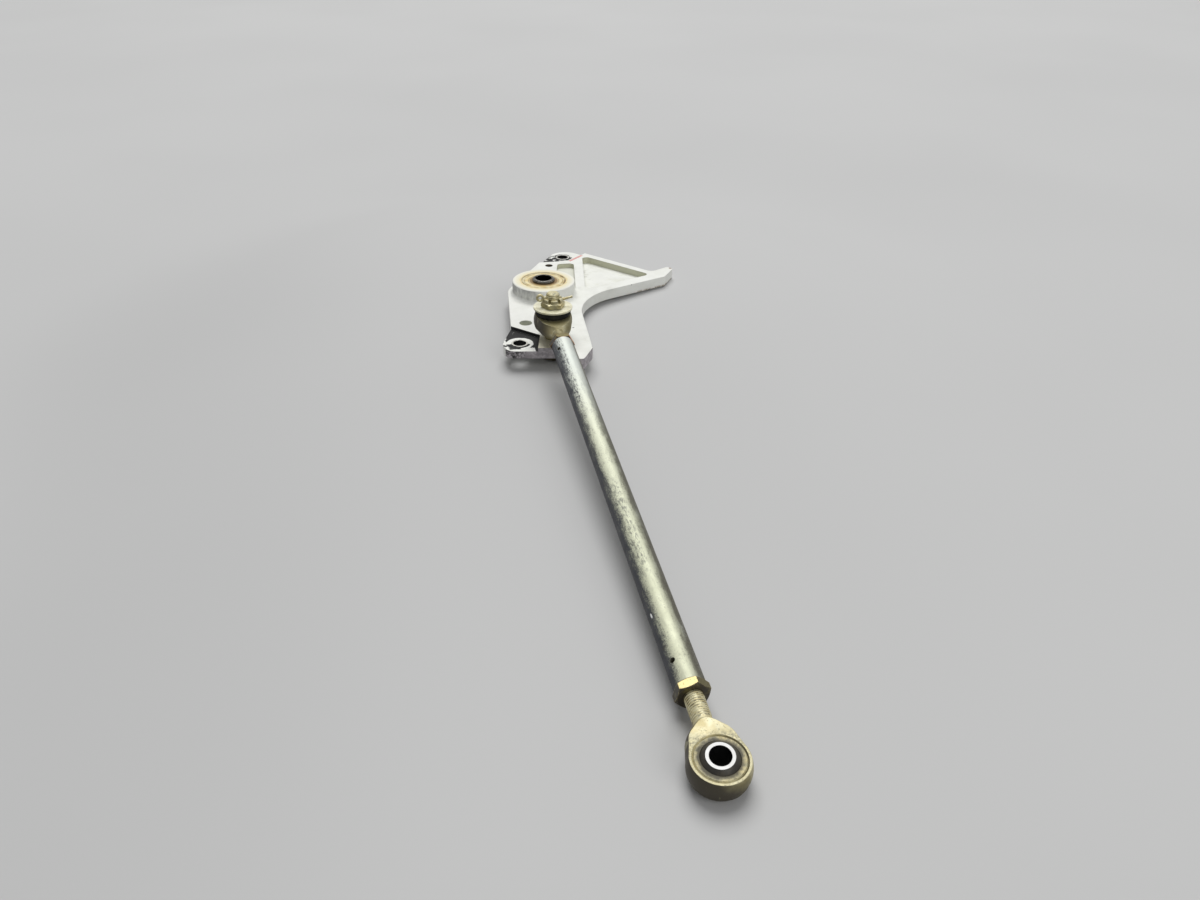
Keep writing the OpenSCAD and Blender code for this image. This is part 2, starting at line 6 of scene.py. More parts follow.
import bpy
from bpy.props import FloatProperty, FloatVectorProperty, PointerProperty
from mathutils import Matrix, Vector


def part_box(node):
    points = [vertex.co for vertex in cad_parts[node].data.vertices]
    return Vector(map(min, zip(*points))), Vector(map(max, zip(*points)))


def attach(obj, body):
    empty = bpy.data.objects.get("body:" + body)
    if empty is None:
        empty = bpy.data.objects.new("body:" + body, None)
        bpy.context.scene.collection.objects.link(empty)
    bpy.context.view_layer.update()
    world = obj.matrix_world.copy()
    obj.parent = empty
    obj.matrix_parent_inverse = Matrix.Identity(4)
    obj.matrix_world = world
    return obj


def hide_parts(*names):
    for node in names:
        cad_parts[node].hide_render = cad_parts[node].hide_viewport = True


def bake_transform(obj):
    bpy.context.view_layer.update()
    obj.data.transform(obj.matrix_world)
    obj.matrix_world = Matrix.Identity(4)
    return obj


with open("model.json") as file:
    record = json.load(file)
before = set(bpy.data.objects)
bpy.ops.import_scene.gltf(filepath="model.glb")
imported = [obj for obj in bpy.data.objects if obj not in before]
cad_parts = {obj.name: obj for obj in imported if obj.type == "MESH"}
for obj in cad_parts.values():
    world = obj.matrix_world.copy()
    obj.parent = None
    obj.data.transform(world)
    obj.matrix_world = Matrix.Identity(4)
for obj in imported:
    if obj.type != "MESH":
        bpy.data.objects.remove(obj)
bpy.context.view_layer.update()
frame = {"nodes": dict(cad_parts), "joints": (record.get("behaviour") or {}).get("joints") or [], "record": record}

bl_info = {
    "name": "Bellcrank finishes",
    "version": (1, 0, 0),
    "blender": (4, 5, 0),
    "location": "View3D > Sidebar > Bellcrank",
    "description": "Finishes, threads, dust boot and studio for a control bellcrank with its push-pull rod",
    "category": "Object",
}

MM = 0.001

# Places on the part, from the frame's joints and mounts, and directions
PLACE = {j["name"]: Vector(j["pos_m"]) for j in frame["joints"]}
MOUNT = {m["name"]: Vector(m["pos_m"]) for m in frame["record"]["mounts"]}
PIVOT = Vector((0, 0, 0))
FRONT_EAR = MOUNT["front_ear_bore"]
REAR_EAR = MOUNT["rear_ear_bore"]
FAR_BALL = PLACE["rod_swing"]
NEAR_BALL = PLACE["near_ball_spin"]
ROD_AXIS = (NEAR_BALL - FAR_BALL).normalized()
SIDE = Vector((1, 0, 0))
BACK = Vector((0, 1, 0))
UP = Vector((0, 0, 1))
ROD_LIFT = ROD_AXIS.cross(SIDE)

# Crank plate: points on the rib, the arm's edge and the finger's edge, and the pockets' side of each
RIB = Vector((25.5, 0, 0)) * MM
RIB_RIGHT = Vector((0.986, -0.167, 0))
ARM_EDGE = Vector((89.6, 15.3, 0)) * MM
ARM_INWARD = Vector((-0.375, 0.927, 0))
FINGER_EDGE = Vector((82.9, 26.7, 0)) * MM
FINGER_INWARD = Vector((-0.761, -0.65, 0))
BOSS_RADIUS = 21 * MM

# Crank plate: centres and radii of the two small holes
REAR_HOLE = Vector((12.4, 50.5, 0)) * MM
REAR_HOLE_RADIUS = 2.75 * MM
TOOLING_HOLE = Vector((-19.9, -49.6, 0)) * MM
TOOLING_HOLE_RADIUS = 4.05 * MM

# Crank plate: corner from which the red line runs, its directions, and the places of small marks
LINE_START = Vector((28.1, 58, 0)) * MM
LINE_ALONG = Vector((0.7314, 0.682, 0))
LINE_ACROSS = Vector((0.682, -0.7314, 0))
ROD_SPOT = Vector((8.2, -61.7, 6.9)) * MM
ARM_NICK = Vector((62.7, 4.4, 6.6)) * MM
FINGER_CHIP = Vector((98.4, 31.0, 6.9)) * MM

# Studio: lamps, the camera with its picture's right and down directions, and the floor's mesh and tone
LIGHT_TARGET = Vector((0.02, -0.15, 0))
KEY_PLACE = Vector((0.40, 2.7, 6.2))
KEY_SIZE = 5.4
FILL_PLACE = Vector((2.2, -4.8, 3.4))
FILL_SIZE = 4.4
CAMERA_PLACE = Vector((-0.10141, -0.611944, 0.252018))
CAMERA_RIGHT = Vector((0.976188, -0.215950, 0.020578))
CAMERA_DOWN = Vector((-0.093294, -0.503574, -0.858900))
SENSOR_WIDTH = 36
CLIP_START = 10 * MM
FLOOR_STEPS = 32
FLOOR_CLOUD = 0.97

# Made pieces: a thread's steps per turn, half widths in pitches and least height, and the boot's mesh
THREAD_STEPS = 40
THREAD_FOOT = 0.46
THREAD_CREST = 0.08
THREAD_LEAST = 0.1
BOOT_STEPS = 96
BOOT_ROWS = 10


def colour(name, description, default):
    """A colour that the user can change, in linear red, green and blue."""
    return FloatVectorProperty(name=name, description=description, default=default, subtype="COLOR",
                               min=0, max=1)


def length(name, description, default):
    """A length that the user can change, given in millimetres and kept in metres."""
    return FloatProperty(name=name, description=description, default=default * MM, unit="LENGTH",
                         precision=5)


class CrankLook(bpy.types.PropertyGroup):
    """Colours and marks of the crank plate and its bearing."""

    metal: colour("Anodised metal", "Bare matt metal of the crank plate", (0.84, 0.845, 0.80))
    metal_dull: colour("Dull metal", "Metal where it has dulled", (0.76, 0.765, 0.71))
    # Painted shade on the pockets' walls, and thin patches on their floors
    tint: colour("Pocket film", "Cream-green film in the pockets", (0.55, 0.55, 0.40))
    # Painted shade in the rear hole
    rear_hole_shade: colour("Rear hole", "Dirt in the small rear hole", (0.15, 0.13, 0.095))
    # Painted light on the tooling hole's wall
    tooling_hole_light: colour("Tooling hole", "Pale film in the tooling hole", (0.90, 0.92, 0.80))
    # Also painted shade on the boss's left wall
    smudge: colour("Smudge", "Grey handling marks", (0.30, 0.30, 0.29))
    # These two: partly dirt, partly painted shade on the front faces
    front_dirt_and_shade: colour("Front dirt", "Ground-in dirt on the front faces", (0.30, 0.275, 0.29))
    front_pale: colour("Worn front dirt", "The same dirt where it has worn thin", (0.50, 0.465, 0.485))
    # Painted shade beside the rod end, with its painted yellow reflection
    rod_end_shade: colour("Rod dirt", "Pale dirt on the plate beside the rod end", (0.66, 0.60, 0.40))
    paint: colour("Black paint", "Paint left on the two ears", (0.007, 0.007, 0.008))
    line: colour("Red line", "Line along the rear ear's step", (0.58, 0.06, 0.06))
    wash: colour("Pink wash", "Wash between the red line's strokes", (0.78, 0.36, 0.33))
    chip: colour("Brown chip", "Chip on the finger", (0.20, 0.10, 0.04))
    cream: colour("Cream film", "Thin dry grease on the boss and the bearing", (0.82, 0.74, 0.48))
    grease: colour("Old grease", "Yellow film on the bearing", (0.74, 0.56, 0.22))
    amber: colour("Amber grease", "Dark grease next to the sleeve", (0.55, 0.29, 0.08))
    ring_dirt: colour("Ring dirt", "Brown dirt in the bearing's joints", (0.20, 0.125, 0.04))
    sleeve: colour("Sleeve", "Dark steel of the pivot sleeve", (0.07, 0.068, 0.062))
    sleeve_worn: colour("Worn sleeve", "Sleeve steel where it is rubbed", (0.17, 0.16, 0.14))
    sleeve_rim: colour("Sleeve rim", "Bright rim of the sleeve", (0.70, 0.68, 0.62))
    # Painted shade in the sleeve's bore
    sleeve_bore_shade: colour("Sleeve bore", "Inside of the sleeve", (0.012, 0.012, 0.013))
    bush: colour("Bush", "Steel of the ear bushes", (0.58, 0.57, 0.52))
    bush_rim: colour("Bush rim", "Bright rim of the bushes", (0.75, 0.74, 0.70))
    # Painted shade in the bushes' bores
    bush_bore_shade: colour("Bush bore", "Inside of the bushes", (0.02, 0.02, 0.02))
    ear_top: length("Ear height", "Top of the thinned ears", 4.7)
    plate_top: length("Plate height", "Top of the plate", 6.9)
    imprint: length("Washer imprint", "Radius of the bare ring round the front ear's hole", 8.3)
    line_width: length("Line width", "Distance between the red line's two strokes", 1.7)


class RodLook(bpy.types.PropertyGroup):
    """Colours and sizes of the rod, its ends and the bolted joint."""

    plating: colour("Plating", "Yellow cadmium plating", (0.56, 0.48, 0.25))
    pale: colour("Pale plating", "Plating where it is rubbed pale", (0.72, 0.685, 0.47))
    khaki: colour("Khaki plating", "Plating of the rod ends' faces under a dry film", (0.54, 0.50, 0.31))
    washer: colour("Washer", "Pale plating of the large washer", (0.90, 0.88, 0.70))
    # Also painted shade on the plating's and rod ends' shaded sides, and on shaded flats of the jam nuts
    olive: colour("Olive plating", "Plating where it is thin", (0.17, 0.145, 0.055))
    # Painted highlight on the near jam nut's top flat
    gold_highlight: colour("Gold plating", "Bright flat of the near jam nut", (0.88, 0.73, 0.34))
    # Also a painted highlight on the far jam nut's right flat
    copper: colour("Copper plating", "Orange edges of the far jam nut", (0.66, 0.27, 0.07))
    # Also painted shade round the swivel balls and on their sides
    dirt: colour("Dirt", "Black oily dirt", (0.020, 0.017, 0.012))
    # Also painted shade below and left of the rod ends' heads, under the plate, and on the tube's right side
    grime: colour("Grime", "Brown-black film on the heads' sides", (0.050, 0.042, 0.028))
    dust: colour("Dust", "Grey dirt on the rod ends' faces", (0.13, 0.125, 0.09))
    tube: colour("Tube", "Worn grey streaks on the tube", (0.33, 0.34, 0.30))
    # Painted highlight along the tube's upper left
    tube_highlight: colour("Pale tube", "Tube where it is rubbed clean", (0.74, 0.76, 0.60))
    # Painted highlight toward the near end
    tube_near_highlight: colour("Yellowed tube", "Rubbed tube toward the near end", (0.54, 0.55, 0.37))
    # Painted highlight near the crank
    tube_blue_highlight: colour("Blue-grey tube", "Tube near the crank", (0.70, 0.74, 0.70))
    # Painted shade on the tube's sides; also a darker tone of the plugs
    tube_stain_and_shade: colour("Tube stain", "Olive-grey stain on the tube", (0.135, 0.132, 0.098))
    # Also painted shade on the tube's left side
    scuff: colour("Scuff", "Blue-black scuffs on the tube", (0.035, 0.038, 0.050))
    fleck: FloatVectorProperty(name="White fleck", description="Place of the white fleck on the tube",
                               default=(-0.01235, -0.3279, -0.0009), subtype="TRANSLATION", unit="LENGTH")
    fleck_white: colour("Fleck white", "Colour of the white fleck", (0.88, 0.89, 0.86))
    ball: colour("Ball", "Bright steel of the swivel balls", (0.68, 0.68, 0.67))
    ball_dull: colour("Dull ball", "Ball steel where it has dulled", (0.58, 0.575, 0.56))
    # Painted shade in the balls' bores
    ball_bore_shade: colour("Ball bore", "Inside of the balls", (0.006, 0.006, 0.007))
    rubber: colour("Rubber", "Black rubber of the dust boot", (0.010, 0.010, 0.010))
    rubber_film: colour("Rubber film", "Dull film on the rubber", (0.03, 0.028, 0.022))
    rubber_specks: colour("Rubber specks", "Specks of dust on the rubber", (0.08, 0.07, 0.05))
    thread_root: length("Thread root", "Radius at which a thread starts on its stud", 3.64)
    thread_crest: length("Thread crest", "Radius of a thread's crest", 3.90)
    bolt_root: length("Bolt thread root", "Radius at which the thread starts on the bolt", 3.93)
    bolt_crest: length("Bolt thread crest", "Radius of the crest of the bolt's thread", 4.10)
    thread_pitch: length("Thread pitch", "Distance between two turns of a thread", 1.06)
    thread_start: length("Thread start", "Start of a thread from the ball's centre", 18.9)
    boot_inner: length("Boot bore", "Inner radius of the dust boot", 8.4)
    boot_outer: length("Boot size", "Outer radius of the dust boot at its lips", 10.5)
    boot_bulge: length("Boot bulge", "How far the boot's wall swells", 0.3)
    boot_lip: length("Boot lip", "Rounding of the boot's lips", 0.35)
    boot_foot: length("Boot foot", "Height of the head's face under the boot, over the ball", 4.28)
    boot_gap: length("Boot gap", "Gap between the boot and the pieces above and below it", 0.05)


class StudioLook(bpy.types.PropertyGroup):
    """Floor, light and camera."""

    floor: colour("Floor", "Plain pale floor", (0.56, 0.56, 0.555))
    backdrop: colour("Backdrop", "Background behind the floor", (0.50, 0.50, 0.50))
    air: colour("Air", "Colour of the light from all round", (0.97, 0.98, 1.0))
    floor_size: FloatProperty(name="Floor size", description="Width of the floor", default=8, unit="LENGTH")
    floor_height: length("Floor height", "Floor under the pivot", -4.15)
    floor_rise_x: FloatProperty(name="Floor rise sideways", description="Rise of the floor along X",
                                default=0.03134)
    floor_rise_y: FloatProperty(name="Floor rise lengthways", description="Rise of the floor along Y",
                                default=0.03212)
    fall_start: length("Fall start", "Where the floor starts to fall away from the part's middle line", 95)
    fall_end: length("Fall end", "Where the floor is level again", 420)
    fall_depth: length("Fall depth", "Drop of the floor round the part, under the swinging rod", 60)
    lens: FloatProperty(name="Focal length", description="Lens of the camera in millimetres", default=29.053)
    key_power: FloatProperty(name="Key light", description="Power of the light above and behind", default=360,
                             subtype="POWER")
    fill_power: FloatProperty(name="Fill light", description="Power of the light at the front", default=98,
                              subtype="POWER")
    world: FloatProperty(name="Surroundings", description="Brightness of the surroundings", default=0.28)


class BellcrankLook(bpy.types.PropertyGroup):
    """All settings of the scene."""

    crank: PointerProperty(type=CrankLook)
    rod: PointerProperty(type=RodLook)
    studio: PointerProperty(type=StudioLook)


class Shade:
    """Adds nodes to one material or group and joins them."""

    def __init__(self, tree):
        self.tree = tree

    def put(self, socket, value):
        if isinstance(value, bpy.types.NodeSocket):
            self.tree.links.new(value, socket)
        elif hasattr(value, "__len__"):
            value = tuple(value)
            socket.default_value = value if len(value) == len(socket.default_value) else (*value, 1)
        else:
            socket.default_value = value

    def add(self, kind, settings=None, **inputs):
        node = self.tree.nodes.new(kind)
        for name, value in (settings or {}).items():
            setattr(node, name, value)
        for name, value in inputs.items():
            self.put(node.inputs[name], value)
        return node

    def math(self, operation, *values):
        node = self.add("ShaderNodeMath", {"operation": operation})
        for socket, value in zip(node.inputs, values):
            self.put(socket, value)
        return node.outputs[0]

    def product(self, *values):
        result = values[0]
        for value in values[1:]:
            result = self.math("MULTIPLY", result, value)
        return result

    def most(self, *values):
        result = values[0]
        for value in values[1:]:
            result = self.math("MAXIMUM", result, value)
        return result

    def vector(self, operation, *values):
        node = self.add("ShaderNodeVectorMath", {"operation": operation})
        for socket, value in zip(node.inputs, values):
            self.put(socket, value)
        return node.outputs["Value" if operation in {"DOT_PRODUCT", "LENGTH", "DISTANCE"} else "Vector"]

    def ramp(self, value, low, high):
        """0 at low and 1 at high, smoothly; low may be the larger."""
        node = self.add("ShaderNodeMapRange", {"interpolation_type": "SMOOTHSTEP"})
        flip = low > high
        for name, number in zip(("From Min", "From Max", "To Min", "To Max"),
                                (high, low, 1, 0) if flip else (low, high, 0, 1)):
            node.inputs[name].default_value = number
        self.put(node.inputs["Value"], value)
        return node.outputs["Result"]

    def band(self, value, low, high, soft):
        """1 between low and high, falling to 0 over soft on each side."""
        return self.math("MULTIPLY", self.ramp(value, low - soft, low), self.ramp(value, high + soft, high))

    def span(self, distance, low, high):
        """The same ramp over a length, with its limits in millimetres."""
        return self.ramp(distance, low * MM, high * MM)

    def stripe(self, distance, low, high, soft):
        """The same band over a length, with its limits in millimetres."""
        return self.band(distance, low * MM, high * MM, soft * MM)

    def sway(self, value, noise, amount):
        """The value, made uneven by a noise of the given amount."""
        return self.math("ADD", value, self.math("MULTIPLY", self.math("SUBTRACT", noise, 0.5), amount))

    def mix(self, share, first, second):
        node = self.add("ShaderNodeMix", {"data_type": "RGBA"})
        for index, value in ((0, share), (6, first), (7, second)):
            self.put(node.inputs[index], value)
        return node.outputs[2]

    def between(self, share, first, second):
        node = self.add("ShaderNodeMix", {"data_type": "FLOAT"})
        for index, value in ((0, share), (2, first), (3, second)):
            self.put(node.inputs[index], value)
        return node.outputs[0]

    def noise(self, point, scale, detail=3.0, roughness=0.55):
        node = self.add("ShaderNodeTexNoise", Vector=point, Scale=scale, Detail=detail, Roughness=roughness)
        return node.outputs[0]

    def parts(self, vector):
        return self.add("ShaderNodeSeparateXYZ", Vector=vector).outputs

    def use(self, name, **inputs):
        """Places a shared effect and gives its outputs."""
        node = self.tree.nodes.new("ShaderNodeGroup")
        node.node_tree = EFFECTS[name]
        for key, value in inputs.items():
            self.put(node.inputs[key], value)
        return node.outputs


EFFECTS = {}


def effect(name, inputs, outputs):
    """A new node group; inputs are name: (kind, default), outputs are name: kind."""
    tree = bpy.data.node_groups.new(name, "ShaderNodeTree")
    for key, (kind, default) in inputs.items():
        socket = tree.interface.new_socket(key, in_out="INPUT", socket_type="NodeSocket" + kind)
        if default is not None:
            socket.default_value = default
    for key, kind in outputs.items():
        tree.interface.new_socket(key, in_out="OUTPUT", socket_type="NodeSocket" + kind)
    EFFECTS[name] = tree
    shade = Shade(tree)
    return shade, shade.add("NodeGroupInput").outputs, shade.add("NodeGroupOutput").inputs


def axis_effect():
    """Place along an axis, distance from it and turn round it."""
    shade, given, result = effect(
        "round_axis",
        {"Point": ("Vector", None), "Centre": ("Vector", None), "Axis": ("Vector", (0, 0, 1)),
         "Start": ("Vector", (1, 0, 0))},
        {"Along": "Float", "Radius": "Float", "Turn": "Float"})
    offset = shade.vector("SUBTRACT", given["Point"], given["Centre"])
    shade.put(result["Along"], shade.vector("DOT_PRODUCT", offset, given["Axis"]))
    shade.put(result["Radius"], shade.vector("LENGTH", shade.vector("CROSS_PRODUCT", offset, given["Axis"])))
    across = shade.vector("CROSS_PRODUCT", given["Axis"], given["Start"])
    shade.put(result["Turn"], shade.math("ARCTAN2", shade.vector("DOT_PRODUCT", offset, across),
                                         shade.vector("DOT_PRODUCT", offset, given["Start"])))


def edge_effect():
    """Mask of the edges, where handling has rubbed the finish, and the softened normal."""
    shade, given, result = effect(
        "edge_wear",
        {"Point": ("Vector", None), "Radius": ("Float", 0.4 * MM), "Patch": ("Float", 300.0)},
        {"Mask": "Float", "Normal": "Vector"})
    soft = shade.add("ShaderNodeBevel", {"samples": 6}, Radius=given["Radius"]).outputs[0]
    facing = shade.add("ShaderNodeNewGeometry").outputs["Normal"]
    turn = shade.math("SUBTRACT", 1.0, shade.vector("DOT_PRODUCT", soft, facing))
    patchy = shade.ramp(shade.noise(given["Point"], given["Patch"]), 0.35, 0.6)
    shade.put(result["Mask"], shade.math("MULTIPLY", shade.ramp(turn, 0.015, 0.12), patchy))
    shade.put(result["Normal"], soft)


def grime_effect():
    """Patches of dirt, coarse and fine; a larger share covers more."""
    shade, given, result = effect(
        "grime",
        {"Point": ("Vector", None), "Patch": ("Float", 90.0), "Grain": ("Float", 900.0),
         "Share": ("Float", 0.5)},
        {"Patches": "Float", "Specks": "Float", "Cloud": "Float"})
    coarse = shade.noise(given["Point"], given["Patch"], 4.0, 0.62)
    fine = shade.noise(given["Point"], given["Grain"], 2.0, 0.6)
    low = shade.math("SUBTRACT", 0.78, shade.math("MULTIPLY", given["Share"], 0.55))
    edge = shade.math("DIVIDE", shade.math("SUBTRACT", coarse, low), 0.10)
    shade.put(result["Patches"], shade.ramp(edge, 0.0, 1.0))
    shade.put(result["Specks"], shade.ramp(fine, 0.60, 0.70))
    shade.put(result["Cloud"], coarse)


def grain_effect():
    """Fine surface grain: a height for the bump and a spread of roughness."""
    shade, given, result = effect(
        "grain",
        {"Point": ("Vector", None), "Scale": ("Float", 2500.0), "Rough": ("Float", 0.45),
         "Spread": ("Float", 0.15)},
        {"Height": "Float", "Roughness": "Float"})
    fine = shade.noise(given["Point"], given["Scale"], 2.0)
    broad = shade.noise(given["Point"], 160.0)
    shade.put(result["Height"], fine)
    swing = shade.math("MULTIPLY", shade.math("SUBTRACT", broad, 0.5), given["Spread"])
    shade.put(result["Roughness"], shade.math("ADD", given["Rough"], shade.math("MULTIPLY", swing, 2.0)))


def blank_material(name):
    """A new material without nodes."""
    material = bpy.data.materials.new(name)
    material.use_nodes = True
    material.node_tree.nodes.clear()
    return material


class Surface(Shade):
    """A new material: its shader, the place on the part, its worn edges and the colours laid on so far."""

    def __init__(self, name, metallic, bump, edge_radius):
        self.material = blank_material(name)
        super().__init__(self.material.node_tree)
        self.shader = self.add("ShaderNodeBsdfPrincipled")
        self.put(self.add("ShaderNodeOutputMaterial").inputs["Surface"], self.shader.outputs[0])
        self.shader.inputs["Metallic"].default_value = metallic
        where = self.add("ShaderNodeTexCoord").outputs
        self.place, self.normal = where["Object"], where["Normal"]
        edge = self.use("edge_wear", Point=self.place, Radius=edge_radius)
        self.worn = edge["Mask"]
        grain = self.use("grain", Point=self.place)
        height = self.add("ShaderNodeBump", Strength=bump, Distance=0.2 * MM, Height=grain["Height"],
                          Normal=edge["Normal"])
        self.put(self.shader.inputs["Normal"], height.outputs[0])
        self.tone = None

    def around(self, centre, axis):
        """Place along an axis, distance from it and turn round it."""
        return self.use("round_axis", Point=self.place, Centre=centre, Axis=axis, Start=SIDE)

    def grime(self, patch, grain, share):
        """Patches, specks and clouds of dirt."""
        return self.use("grime", Point=self.place, Patch=patch, Grain=grain, Share=share)

    def cloud(self, scale, detail=3.0, roughness=0.55, stretch=None):
        """Noise over the part, drawn out along the axes on which stretch is below 1."""
        place = self.vector("MULTIPLY", self.place, stretch) if stretch else self.place
        return self.noise(place, scale, detail, roughness)

    def beyond(self, place, direction):
        """Distance beyond a place, along a direction."""
        return self.vector("DOT_PRODUCT", self.vector("SUBTRACT", self.place, place), direction)

    def facing(self, direction):
        """1 where the surface faces along a direction, -1 where it faces away."""
        return self.vector("DOT_PRODUCT", self.normal, direction)

    def mottle(self, cloud, low, high, first, second):
        """The ground: two colours that pass into each other in clouds."""
        self.tone = self.mix(self.ramp(cloud, low, high), first, second)

    def lay(self, tint, *shares):
        """Lays a colour over those below it, as thickly as the product of the shares."""
        self.tone = self.mix(self.product(*shares), self.tone, tint)

    def uneven(self, rough, spread=0.2):
        """A roughness that varies over the surface."""
        return self.use("grain", Point=self.place, Rough=rough, Spread=spread)["Roughness"]

    def done(self, roughness):
        """Joins the colours and the roughness to the shader and gives the material."""
        self.put(self.shader.inputs["Base Color"], self.tone)
        self.put(self.shader.inputs["Roughness"], roughness)
        return self.material


def dress(material, *nodes):
    """Gives a material to CAD nodes or made pieces."""
    for node in nodes:
        piece = frame["nodes"][node] if isinstance(node, str) else node
        piece.data.materials.clear()
        piece.data.materials.append(material)


class CrankSurface(Surface):
    """The crank plate's material, with the places that its films, painted light and shade, and marks follow."""

    def __init__(self, look):
        super().__init__("crank_finish", 0.12, 0.08, 0.5 * MM)
        self.look = look
        self.x, self.y, self.z = self.parts(self.place)
        upward = self.facing(UP)
        self.backward = self.facing(BACK)
        self.flat = self.ramp(upward, 0.5, 0.8)
        self.wall = self.ramp(self.math("ABSOLUTE", upward), 0.6, 0.3)
        self.over_plate = self.math("SUBTRACT", self.z, look.plate_top)
        self.over_ear = self.math("SUBTRACT", self.z, look.ear_top)
        self.below_top = self.span(self.over_plate, -0.02, -0.12)
        self.at_top = self.span(self.over_plate, -0.1, 0)
        self.from_pivot = self.around(PIVOT, UP)["Radius"]
        self.from_rib = self.beyond(RIB, RIB_RIGHT)
        self.web = self.product(self.span(self.from_rib, 3.0, 3.2),
                                self.span(self.beyond(ARM_EDGE, ARM_INWARD), 8.6, 8.9),
                                self.span(self.beyond(FINGER_EDGE, FINGER_INWARD), 4.8, 5.1))
        self.ragged = self.cloud(420.0)
        self.stain = self.cloud(150.0, 4.0, 0.6)
        self.speck = self.cloud(520.0, 4.0, 0.7)

    def lay_recess_shade_and_light(self):
        """Painted shade on the two pockets' walls, with thin patches of it on their floors; painted shade in the
        rear hole and painted light in the tooling hole.
        """
        side = self.product(self.span(self.from_rib, -3.1, -3.3),
                            self.span(self.y, 53.4, 53), self.span(self.y, -8, -6),
                            self.span(self.x, 16, 17),
                            self.ramp(self.from_pivot, BOSS_RADIUS - 0.1 * MM, BOSS_RADIUS + 0.1 * MM))
        pocket = self.product(self.most(self.web, side), self.below_top)
        # Painted shade, cream-green, on the pockets' walls; thin patches on the floors
        film = self.most(self.product(pocket, self.wall, 0.85),
                         self.product(pocket, self.flat, self.ramp(self.stain, 0.50, 0.72), 0.25),
                         self.product(side, self.below_top, self.flat, 0.3))
        self.lay(self.look.tint, film)
        # Painted shade in the rear hole, painted light in the tooling hole
        for hole, radius, inside in ((REAR_HOLE, REAR_HOLE_RADIUS, self.look.rear_hole_shade),
                                     (TOOLING_HOLE, TOOLING_HOLE_RADIUS, self.look.tooling_hole_light)):
            bore = self.around(hole, UP)["Radius"]
            self.lay(inside, self.wall, self.ramp(bore, radius + 0.1 * MM, radius))

    def lay_marks_and_shade(self, patches):
        """Grey on the boss's left wall, partly handling marks and partly painted shade, grey marks along the rib
        and thinly elsewhere.
        """
        boss_left = self.product(self.span(self.over_plate, 0.6, 2.4), self.span(self.x, 2, -12), self.wall)
        rub = self.cloud(130.0, 4.0, 0.6, (1, 1, 0.6))
        along_rib = self.product(self.web, self.below_top, self.flat, self.span(self.from_rib, 13, 4))
        # The boss's left wall: partly handling marks, partly painted shade
        mark = self.most(self.product(boss_left, self.ramp(rub, 0.32, 0.62), 0.8),
                         self.product(along_rib, self.ramp(self.stain, 0.46, 0.68), 0.28),
                         self.product(patches, 0.10), self.product(self.worn, 0.22))
        self.lay(self.look.smudge, mark)

    def lay_dirt_and_shade(self):
        """Dirt and painted shade on the front faces, dark on the lug's edges, darker patches at the arm's foot,
        and painted shade with a painted yellow reflection beside the rod end.
        """
        look = self.look
        # Front faces: partly dirt, partly painted shade
        front = self.product(self.span(self.y, -80, -82), self.ramp(self.backward, -0.2, -0.45),
                             self.wall)
        dirt = self.mix(self.ramp(self.speck, 0.40, 0.66), look.front_dirt_and_shade, look.front_pale)
        at_ear = self.product(self.span(self.x, -22, -33), self.ramp(self.speck, 0.62, 0.40))
        self.lay(self.mix(at_ear, dirt, look.paint), front, 0.95)
        self.lay(look.paint, self.worn, self.span(self.y, -86, -90),
                 self.span(self.x, -4, 0), 0.85)
        # Darker in patches at the foot of the arm's walls
        self.lay(look.ring_dirt, self.wall, self.span(self.z, 1.5, 0.3),
                 self.span(self.x, 55, 75), self.ramp(self.speck, 0.40, 0.58), 0.8)
        # Painted shade beside the rod end, yellowed by a painted reflection from it
        self.lay(look.rod_end_shade, self.flat, self.at_top, self.span(self.y, -66, -74),
                 self.span(self.x, 0, -8), 0.6)

    def front_paint(self, ear_height, patch):
        """Paint round the washer's imprint, in a crescent by the bush and on the step's wall."""
        imprint = self.look.imprint
        ear = self.around(FRONT_EAR, UP)
        radius = self.sway(ear["Radius"], self.ragged, 1.2 * MM)
        right, back = self.beyond(FRONT_EAR, SIDE), self.beyond(FRONT_EAR, BACK)
        behind = self.span(self.sway(back, self.ragged, 3 * MM), -8.2, -7)
        away = self.most(behind, self.span(right, 7.6, 8.2))
        leftward = self.most(self.span(right, -8, -6.5), self.ramp(patch, 0.48, 0.52))
        whole = self.ramp(self.cloud(560.0, 2.0), 0.75, 0.72)
        outer = self.product(self.ramp(radius, imprint - 0.2 * MM, imprint + 0.2 * MM), away, leftward, whole,
                             self.flat)
        crescent = self.most(self.product(self.stripe(radius, 5.2, 8.2, 0.25),
                                          self.band(ear["Turn"], -3.1, -1.7, 0.15)),
                             self.product(self.stripe(radius, 5.2, 6.3, 0.2),
                                          self.band(ear["Turn"], -1.8, -0.35, 0.15)))
        step_wall = self.product(self.wall, self.span(self.over_ear, 0, 0.1),
                                 self.ramp(self.backward, -0.88, -0.80), self.span(ear["Radius"], 27, 25))
        return self.product(ear_height, self.span(self.y, -44, -46),
                            self.most(outer, crescent, step_wall))

    def rear_paint(self, ear_height, patch):
        """Patches of paint on the left of the rear ear and a smear round its bush."""
        right = self.sway(self.beyond(REAR_EAR, SIDE), self.ragged, 3 * MM)
        left = self.product(self.span(right, -3, -4.5), self.span(self.beyond(REAR_EAR, BACK), 6, 3),
                            self.ramp(patch, 0.42, 0.48))
        radius = self.sway(self.around(REAR_EAR, UP)["Radius"], self.ragged, 3 * MM)
        smear = self.product(self.span(radius, 7.2, 6.4), self.ramp(patch, 0.36, 0.44))
        return self.product(ear_height, self.flat, self.span(self.y, 56, 57), self.most(left, smear))

